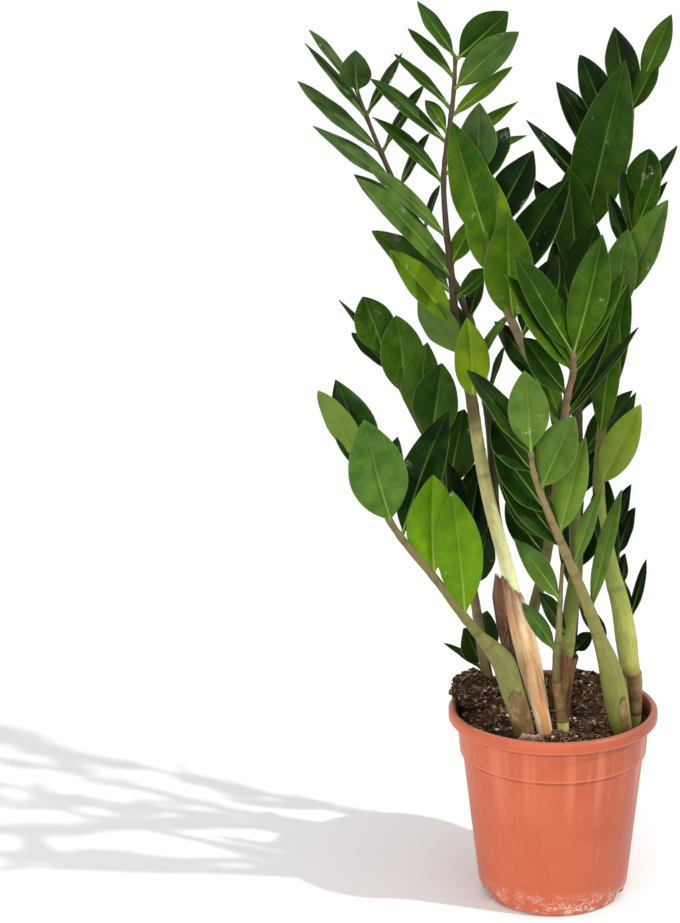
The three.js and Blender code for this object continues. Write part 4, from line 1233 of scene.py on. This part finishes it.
def leaf_finish(name, deep, mid, fresh, young):
    """Waxy leaflets: darker when old, with a pale midrib, faint side veins and a thin light margin, one half
    of each blade painted darker as the shade of its fold, and a painted sheen on some faces.
    """
    finish, n, shader = new_finish(name)
    place, size, look = n.mark("blade_place"), n.mark("blade_size"), n.mark("blade_look")
    veins = n.effect("leaf_veins", Along=size[0], Sideways=size[1], Share=place[0], Margin=place[1])
    broad = n.effect("mottling", Size=0.016, Depth=0.2)["Value"]
    grain = n.effect("mottling", Size=0.0016, Depth=0.05)["Value"]
    lengthwise = n.times(n.minus(0.45, place[0]), 0.16)
    # One half of each blade is painted lighter and the other darker: painted shade of its fold.
    half = n.times(n.maths("SIGN", place[1]), n.minus(size[2], 0.5), 0.14)
    # The leaflet's tone is its age together with painted shade and light.
    tone = n.plus(look[0], half, lengthwise, n.plus(broad, grain))
    colour = n.ramp(tone, (0.0, deep), (0.38, mid), (0.7, fresh), (1.0, young))
    paler = n.ramp(tone, (0.0, mid), (0.4, fresh), (0.8, young), (1.0, rgb(160, 176, 76)))
    colour = n.mix(n.times(veins["Veins"], 0.14), colour, paler)
    rib = n.mix(n.span(place[0], 0.1, 0.8, 0.62, 0.1), paler, rgb(172, 194, 100))
    colour = n.mix(n.times(veins["Midrib"], 0.8), colour, rib)
    colour = n.mix(n.times(veins["Margin"], 0.4), colour, rgb(128, 150, 80))
    # Painted sheen: on the listed faces, patches are mixed towards a pale grey-green.
    patches = n.noise(70.0, n.place(), detail=2.0)
    painted_sheen = n.times(look[2], n.span(patches, 0.3, 0.62, 0.35, 1.0))
    colour = n.mix(painted_sheen, colour, n.mix(0.5, paler, rgb(112, 134, 92)))
    under = n.ramp(tone, (0.0, rgb(52, 76, 38)), (0.5, rgb(88, 112, 52)), (1.0, rgb(124, 146, 62)))
    colour = n.mix(n.times(place[2], 0.85), colour, under)
    upper = n.minus(1.0, place[2])
    drops = n.times(n.effect("white_marks", Size=0.014, Amount=0.42)["Mask"], upper, 0.4)
    colour = n.mix(drops, colour, rgb(214, 222, 206))
    wax = n.span(look[1], 0.0, 1.0, 0.32, 0.42)
    rough = n.plus(wax, n.times(place[2], 0.16), n.times(drops, 0.5), n.maths("ABSOLUTE", broad))
    relief = n.plus(n.times(veins["Height"], 0.5), n.times(grain, 1.6))
    give_looks(n, shader, colour, rough, 0.06, relief, strength=0.35, depth=0.0005)
    return finish


def stalk_finish():
    """Stalks: green and fleshy low down, brown and corky above, with dark rings where leaflets leave them."""
    finish, n, shader = new_finish("stalk_skin")
    skin = n.add("Attribute", attribute_name="stalk_skin").outputs["Color"]
    mark = n.mark("stalk_mark")
    streaks = n.effect("streaks", Along=mark[1], Around=mark[0], Count=1.6, Length=26.0)
    fine = n.effect("streaks", Along=mark[1], Around=mark[0], Count=6.0, Length=9.0)
    mottle = n.effect("mottling", Size=0.006, Depth=0.22)["Value"]
    light = n.mix(streaks["Mask"], skin, (1.24, 1.2, 1.1, 1.0), blend="MULTIPLY")
    dark = n.mix(n.times(fine["Mask"], 0.22), light, rgb(70, 66, 36))
    shade = n.ramp(
        n.plus(mottle, 0.5), (0.0, (0.62, 0.6, 0.55, 1)), (0.55, (1, 1, 1, 1)), (1.0, (1.2, 1.2, 1.1, 1)),
    )
    colour = n.mix(1.0, dark, shade, blend="MULTIPLY")
    worn = n.span(n.noise(90.0, n.place(), detail=2.0), 0.35, 0.6, 0.06, 0.5)
    colour = n.mix(n.times(mark[2], worn), colour, rgb(62, 48, 30))
    specks = n.add("TexVoronoi", {"Vector": n.place(), "Scale": 420.0}).outputs["Distance"]
    colour = n.mix(n.span(specks, 0.1, 0.2, 0.3, 0.0), colour, rgb(96, 84, 52))
    relief = n.plus(fine["Height"], n.times(mark[2], -0.8))
    rough = n.span(streaks["Height"], 0.3, 1.1, 0.42, 0.58)
    give_looks(n, shader, colour, rough, 0.15, relief, strength=0.4, depth=0.0006)
    return finish


def dry_finish(name, pale, warm, dark, edge, streak_count, dark_share, net, flush=0.0):
    """Dry papery skin: pale ground, warm streaks along it, dark veins, a net of fibres, and an orange flush
    low down at its front; another brown at its torn edge."""
    finish, n, shader = new_finish(name)
    mark = n.mark("dry_mark")
    along = n.times(mark[1], 120.0)
    streaks = n.effect("streaks", Along=along, Around=mark[0], Count=streak_count, Length=70.0)
    veins = n.effect("streaks", Along=along, Around=mark[0], Count=streak_count * 2.7, Length=34.0)
    mottle = n.effect("mottling", Size=0.012, Depth=0.4)["Value"]
    warmth = n.plus(n.times(streaks["Mask"], 0.8), mottle)
    colour = n.ramp(warmth, (0.0, pale), (0.5, warm), (1.0, dark))
    colour = n.mix(n.times(veins["Mask"], dark_share), colour, dark)
    front = n.maths("COSINE", n.minus(mark[0], FLUSH_AT))
    low_down = n.span(mark[1], 0.36, 0.72)
    streaky = n.span(streaks["Height"], 0.4, 0.9, 0.55, 1.0)
    flushed = n.times(n.span(front, 0.72, 0.96), low_down, streaky, flush)
    colour = n.mix(flushed, colour, rgb(198, 124, 58))
    fibres = n.effect("fibre_net", Along=along, Around=mark[0], Count=streak_count * 1.3, Length=8.0)["Mask"]
    low = n.span(mark[1], 0.1, 0.8, 0.55, 1.0)
    colour = n.mix(n.times(fibres, low, net), colour, rgb(34, 20, 11))
    torn = n.span(n.plus(mark[1], n.times(mottle, 0.3)), 0.02, 0.3, 0.85, 0.0)
    colour = n.mix(torn, colour, edge)
    wrinkles = n.times(n.span(veins["Height"], 0.62, 0.8), n.maths("MULTIPLY_ADD", torn, 0.7, 0.12))
    colour = n.mix(wrinkles, colour, rgb(84, 50, 36))
    relief = n.plus(veins["Height"], n.times(streaks["Height"], 0.6))
    rough = n.span(veins["Height"], 0.3, 1.1, 0.6, 0.85)
    give_looks(n, shader, colour, rough, 0.3, relief, strength=0.55, depth=0.0009)
    return finish


def husk_finish():
    """The brown papery scales left on the stalks: blotched, veined lengthwise and darker at the torn edge."""
    finish, n, shader = new_finish("brown_husk")
    mark = n.mark("dry_mark")
    along = n.times(mark[1], 45.0)
    veins = n.effect("streaks", Along=along, Around=mark[0], Count=7.0, Length=22.0)
    mottle = n.effect("mottling", Size=0.008, Depth=0.5)["Value"]
    blotch = n.plus(mottle, 0.62, n.times(mark[1], -0.24))
    colour = n.ramp(blotch, (0.0, rgb(70, 50, 28)), (0.4, rgb(112, 88, 50)), (0.65, rgb(142, 114, 76)),
                    (1.0, rgb(186, 160, 116)))
    colour = n.mix(n.times(veins["Mask"], 0.4), colour, rgb(76, 56, 36))
    edge = n.span(mark[1], 0.0, 0.07, 0.7, 0.0)
    colour = n.mix(edge, colour, rgb(84, 54, 36))
    rough = n.span(veins["Height"], 0.3, 1.1, 0.5, 0.75)
    give_looks(n, shader, colour, rough, 0.35, veins["Height"], strength=0.5, depth=0.0007)
    return finish


def peat_finish():
    """Damp peat: brown on its crumbs and painted nearly black in its hollows as shade, with pale brown
    threads in it.
    """
    finish, n, shader = new_finish("peat")
    place = n.place()
    clods = n.noise(160.0, place, detail=6.0, rough=0.7)
    drawn_out = n.add("Mapping", {"Vector": place, "Scale": (1.0, 0.35, 1.0)}).outputs[0]
    threads = n.noise(620.0, drawn_out, detail=4.0)
    # The colour follows the same noise as the relief, so the hollows get painted shade.
    colour = n.ramp(clods, (0.3, rgb(18, 11, 8)), (0.5, rgb(50, 34, 24)), (0.66, rgb(84, 60, 44)),
                    (0.8, rgb(120, 92, 70)))
    colour = n.mix(n.span(threads, 0.6, 0.68, 0.0, 0.7), colour, rgb(150, 118, 92))
    relief = n.plus(clods, n.times(threads, 0.5))
    rough = n.span(clods, 0.3, 0.8, 0.98, 0.82)
    give_looks(n, shader, colour, rough, 0.2, relief, strength=0.9, depth=0.0016)
    return finish


def crumb_finish(name, stops, rough):
    """Loose bits in the peat, each with a colour of its own from the stops."""
    finish, n, shader = new_finish(name)
    mark = n.mark("crumb_mark")
    mottle = n.effect("mottling", Size=0.0015, Depth=0.22)["Value"]
    colour = n.ramp(n.plus(mark[0], n.times(mottle, 0.4)), *stops)
    roughness = n.span(mottle, -0.2, 0.2, rough, rough + 0.1)
    give_looks(n, shader, colour, roughness, 0.25, mottle, strength=0.7, depth=0.0006)
    return finish


def pot_finish():
    """Terracotta coloured plastic: satin, faintly clouded, scuffed along its edges, limed round its foot,
    with painted shade on its right side and below its seams and pale upright bands of painted highlight under
    its rim.
    """
    finish, n, shader = new_finish("pot_plastic")
    place = n.place()
    xyz = n.add("SeparateXYZ", {0: place}).outputs
    radius = n.maths("SQRT", n.plus(n.times(xyz[0], xyz[0]), n.times(xyz[1], xyz[1])))
    cloud = n.effect("mottling", Size=0.05, Depth=0.2)["Value"]
    grain = n.effect("mottling", Size=0.0025, Depth=0.12)["Value"]
    tone = n.plus(cloud, grain, 0.5)
    colour = n.ramp(tone, (0.2, rgb(181, 82, 52)), (0.5, rgb(193, 95, 63)), (0.85, rgb(203, 110, 79)))
    # The right side is darkened towards its edge: painted shade.
    colour = n.mix(n.span(xyz[0], -0.005, 0.07), colour, (0.62, 0.6, 0.62, 1.0), blend="MULTIPLY")

    # Below each seam a dark line of painted shade stands for the shadow under the overhang, and above it is a
    # worn, light edge.
    for seam, deep in ((POT_HEIGHT - RIM_TALL, 0.0030), (COLLAR_FOOT_Z, 0.0019)):
        off = n.minus(xyz[2], seam * MM)
        seam_shade = n.times(n.span(off, -deep - 0.0007, -deep), n.span(off, 0.0001, 0.0006, 1.0, 0.0))
        worn = n.times(n.span(off, 0.0006, 0.001), n.span(off, 0.0014, 0.0026, 1.0, 0.0))
        colour = n.mix(n.times(worn, 0.2), colour, rgb(236, 160, 134))
        colour = n.mix(n.times(seam_shade, 0.55), colour, rgb(136, 56, 36))

    # Dust lies on the rim; the pot is darker inside the lip and on the wall over the soil, most near the
    # soil.
    wear = n.span(n.noise(900.0, place, detail=2.0), 0.4, 0.6, 0.35, 1.0)
    dust = n.times(n.span(xyz[2], 0.1574, 0.1592), wear, n.span(radius, 0.0815, 0.0835, 1.0, 0.3), 0.75)
    colour = n.mix(dust, colour, rgb(168, 134, 118))
    lip = n.times(n.span(radius, 0.079, 0.0796, 1.0, 0.0), n.span(xyz[2], 0.1468, 0.1476))
    wall = n.times(n.span(radius, 0.0768, 0.0771, 1.0, 0.0), n.span(xyz[2], 0.138, 0.140))
    dark_inside = n.times(n.maths("MAXIMUM", lip, wall), n.span(xyz[2], 0.1515, 0.1575, 0.9, 0.0))
    colour = n.mix(dark_inside, colour, rgb(36, 23, 17))

    # Dark specks, pale scuffs, and pale upright bands of painted highlight under the rim.
    specks = n.add("TexVoronoi", {"Vector": place, "Scale": 62.0}).outputs["Distance"]
    colour = n.mix(n.span(specks, 0.028, 0.05, 0.75, 0.0), colour, rgb(70, 44, 34))
    turn = n.maths("ARCTAN2", xyz[0], n.times(xyz[1], -1.0))
    scuffs = n.noise(1.0, n.vector(n.times(turn, 22.0), n.times(xyz[2], 26.0), 0.0), detail=5.0)
    colour = n.mix(n.span(scuffs, 0.6, 0.78, 0.0, 0.3), colour, rgb(226, 150, 124))
    highlight_bands = n.noise(1.0, n.vector(n.times(turn, 7.0), 3.3, 0.0), detail=2.0)
    under_rim = n.times(n.span(xyz[2], 0.075, 0.115), n.span(xyz[2], 0.146, 0.149, 1.0, 0.0))
    colour = n.mix(n.times(n.span(highlight_bands, 0.49, 0.62, 0.0, 0.3), under_rim), colour, rgb(220, 136, 106))

    # Lime round the foot, and none under it.
    lime = n.effect("white_marks", Size=0.012, Amount=0.95)["Mask"]
    low = n.span(n.plus(xyz[2], n.times(cloud, 0.03)), 0.006, 0.024, 1.0, 0.0)
    crust = n.noise(420.0, place, detail=6.0, rough=0.72)
    patches = n.span(n.noise(42.0, place, detail=2.0), 0.44, 0.58, 0.12, 1.0)
    limed = n.times(low, n.span(crust, 0.5, 0.58), patches, 0.85)
    outside = n.span(radius, 0.0540, 0.0552)
    limed = n.times(n.maths("MAXIMUM", limed, n.times(lime, low, 0.9)), outside)
    colour = n.mix(limed, colour, rgb(226, 212, 204))
    rough = n.plus(n.span(tone, 0.2, 0.9, 0.36, 0.46), n.times(limed, 0.35))
    relief = n.plus(n.times(grain, 0.5), n.times(limed, 0.4))
    give_looks(n, shader, colour, rough, 0.3, relief, strength=0.3, depth=0.0005)
    return finish


# ---- Studio ----
def hang(data, place, light_from):
    """A lamp at a place, whose light comes from a way."""
    lamp = bpy.data.objects.new(data.name, data)
    lamp.location = place
    lamp.rotation_mode = "QUATERNION"
    lamp.rotation_quaternion = light_from.to_track_quat("Z", "Y")
    bpy.context.scene.collection.objects.link(lamp)


def studio():
    """A plain pale floor, a white surround that dims upwards, one sun from the right and two soft lamps."""
    floor_finish, n, shader = new_finish("studio_floor")
    tone = n.effect("mottling", Size=0.8, Depth=0.02)["Value"]
    colour = n.ramp(n.plus(tone, 0.5), (0.0, (0.89, 0.89, 0.89, 1)), (1.0, (0.92, 0.92, 0.92, 1)))
    give_looks(n, shader, colour, rough=0.9, gloss=0.1)
    side = 80000.0
    points = [(-side, -side, -0.4), (side, -side, -0.4), (side, side, -0.4), (-side, side, -0.4)]
    floor = make_piece("studio_floor", floor_finish, points, [[0, 1, 2, 3]])

    scene = bpy.context.scene
    scene.view_settings.view_transform = "Standard"
    world = bpy.data.worlds.new("studio")
    world.use_nodes = True
    scene.world = world
    n = Nodes(world.node_tree)
    height = n.add("SeparateXYZ", {0: n.add("TexCoord").outputs["Generated"]}).outputs[2]
    background = world.node_tree.nodes["Background"].inputs
    n.feed(background["Color"], (1.0, 1.0, 1.0, 1.0))
    n.feed(background["Strength"], n.span(height, 0.02, 0.3, 1.06, 0.7))

    sun = bpy.data.lights.new("sun", "SUN")
    sun.energy = 1.85
    sun.angle = math.radians(1.5)
    hang(sun, (0, 0, 0), Vector((0.94, -0.34, 1.0)))
    plant_middle = Vector((0, 0, 0.35))
    for name, place, size, energy in (
        ("front_softbox", (-0.6, -2.0, 0.75), 1.0, 15.0),
        ("top_softbox", (0.1, -0.6, 2.2), 0.9, 5.0),
    ):
        softbox = bpy.data.lights.new(name, "AREA")
        softbox.size = size
        softbox.energy = energy
        hang(softbox, place, Vector(place) - plant_middle)


# ---- The plant in its pot ----
photo_camera()
make_effects()
studio()

# The second and third finishes are leaf_green's colours made darker for the fronds at the back, as painted
# shade, and brighter for the frond at the front, as painted light.
LEAVES = {
    name: leaf_finish(name, *tones) for name, tones in {
        "leaf_green": (rgb(6, 26, 3), rgb(38, 68, 8), rgb(80, 110, 22), rgb(118, 142, 26)),
        "leaf_dark": (rgb(6, 24, 5), rgb(36, 62, 11), rgb(70, 98, 28), rgb(104, 130, 34)),
        "leaf_bright": (rgb(7, 30, 4), rgb(40, 76, 7), rgb(80, 118, 14), rgb(110, 148, 24)),
    }.items()
}
skin = stalk_finish()
for name, frond in FRONDS.items():
    leaf = frond["finish"]
    settle(make_piece(name + "_leaflets", LEAVES[leaf], *leaflets_mesh(STALKS[name], frond)), leaf, name)
    settle(make_piece(name + "_stalk", skin, *stalk_mesh(STALKS[name], frond)), leaf)

pot_shell(pot_finish())

tan = dry_finish(
    "tan_sheath", rgb(240, 216, 178), rgb(228, 192, 144), rgb(196, 134, 82), rgb(152, 106, 88), 1.4,
    dark_share=0.1, net=0.08, flush=0.9,
)
torn = dry_finish(
    "torn_sheath", rgb(158, 126, 76), rgb(126, 96, 52), rgb(72, 50, 28), rgb(140, 106, 80), 2.2,
    dark_share=0.35, net=0.45,
)
netted = dry_finish(
    "netted_flap", rgb(150, 110, 76), rgb(98, 66, 42), rgb(36, 22, 13), rgb(150, 108, 84), 4.6,
    dark_share=0.75, net=0.95,
)
papery = dry_finish(
    "papery_flake", rgb(188, 150, 130), rgb(158, 118, 98), rgb(116, 82, 66), rgb(222, 190, 172), 1.8,
    dark_share=0.2, net=0.1,
)
PALE, BROWN = "dry_sheath_pale", "dry_sheath_brown"
for sheath, finish, slot in zip(SHEATHS, (tan, torn), (PALE, BROWN)):
    settle(make_piece(sheath["name"] + "_skin", finish, *sheath_mesh(sheath)), slot, sheath["name"])
settle(make_piece("dry_flap_skin", netted, *flap_mesh()), BROWN, "dry_flap_dark")
settle(make_piece("dry_flake", papery, *flake_mesh()), BROWN)
husk = husk_finish()
for row in HUSKS:
    settle(make_piece(row[0] + "_husk", husk, *husk_mesh(*row)), BROWN)

peat = peat_finish()
settle(make_piece("peat_bed", peat, *soil_mesh()), "peat_soil", "soil")
clump, clump_faces = clump_mesh()
settle(make_piece("peat_clump", peat, clump, clump_faces), "peat_soil")
bits = crumb_finish("peat_crumbs", [
    (0.0, rgb(28, 18, 12)), (0.5, rgb(70, 48, 35)), (0.8, rgb(112, 84, 62)), (0.94, rgb(156, 128, 102)),
    (1.0, rgb(226, 214, 196)),
], 0.85)
straw = crumb_finish("straw_fibres", [
    (0.0, rgb(54, 37, 26)), (0.4, rgb(98, 70, 51)), (0.75, rgb(150, 120, 96)), (1.0, rgb(200, 178, 152)),
], 0.7)
settle(make_piece("peat_crumbs", bits, *crumbs_mesh(clump)), "peat_soil")
settle(make_piece("straw_fibres", straw, *fibres_mesh(clump)), "peat_soil")
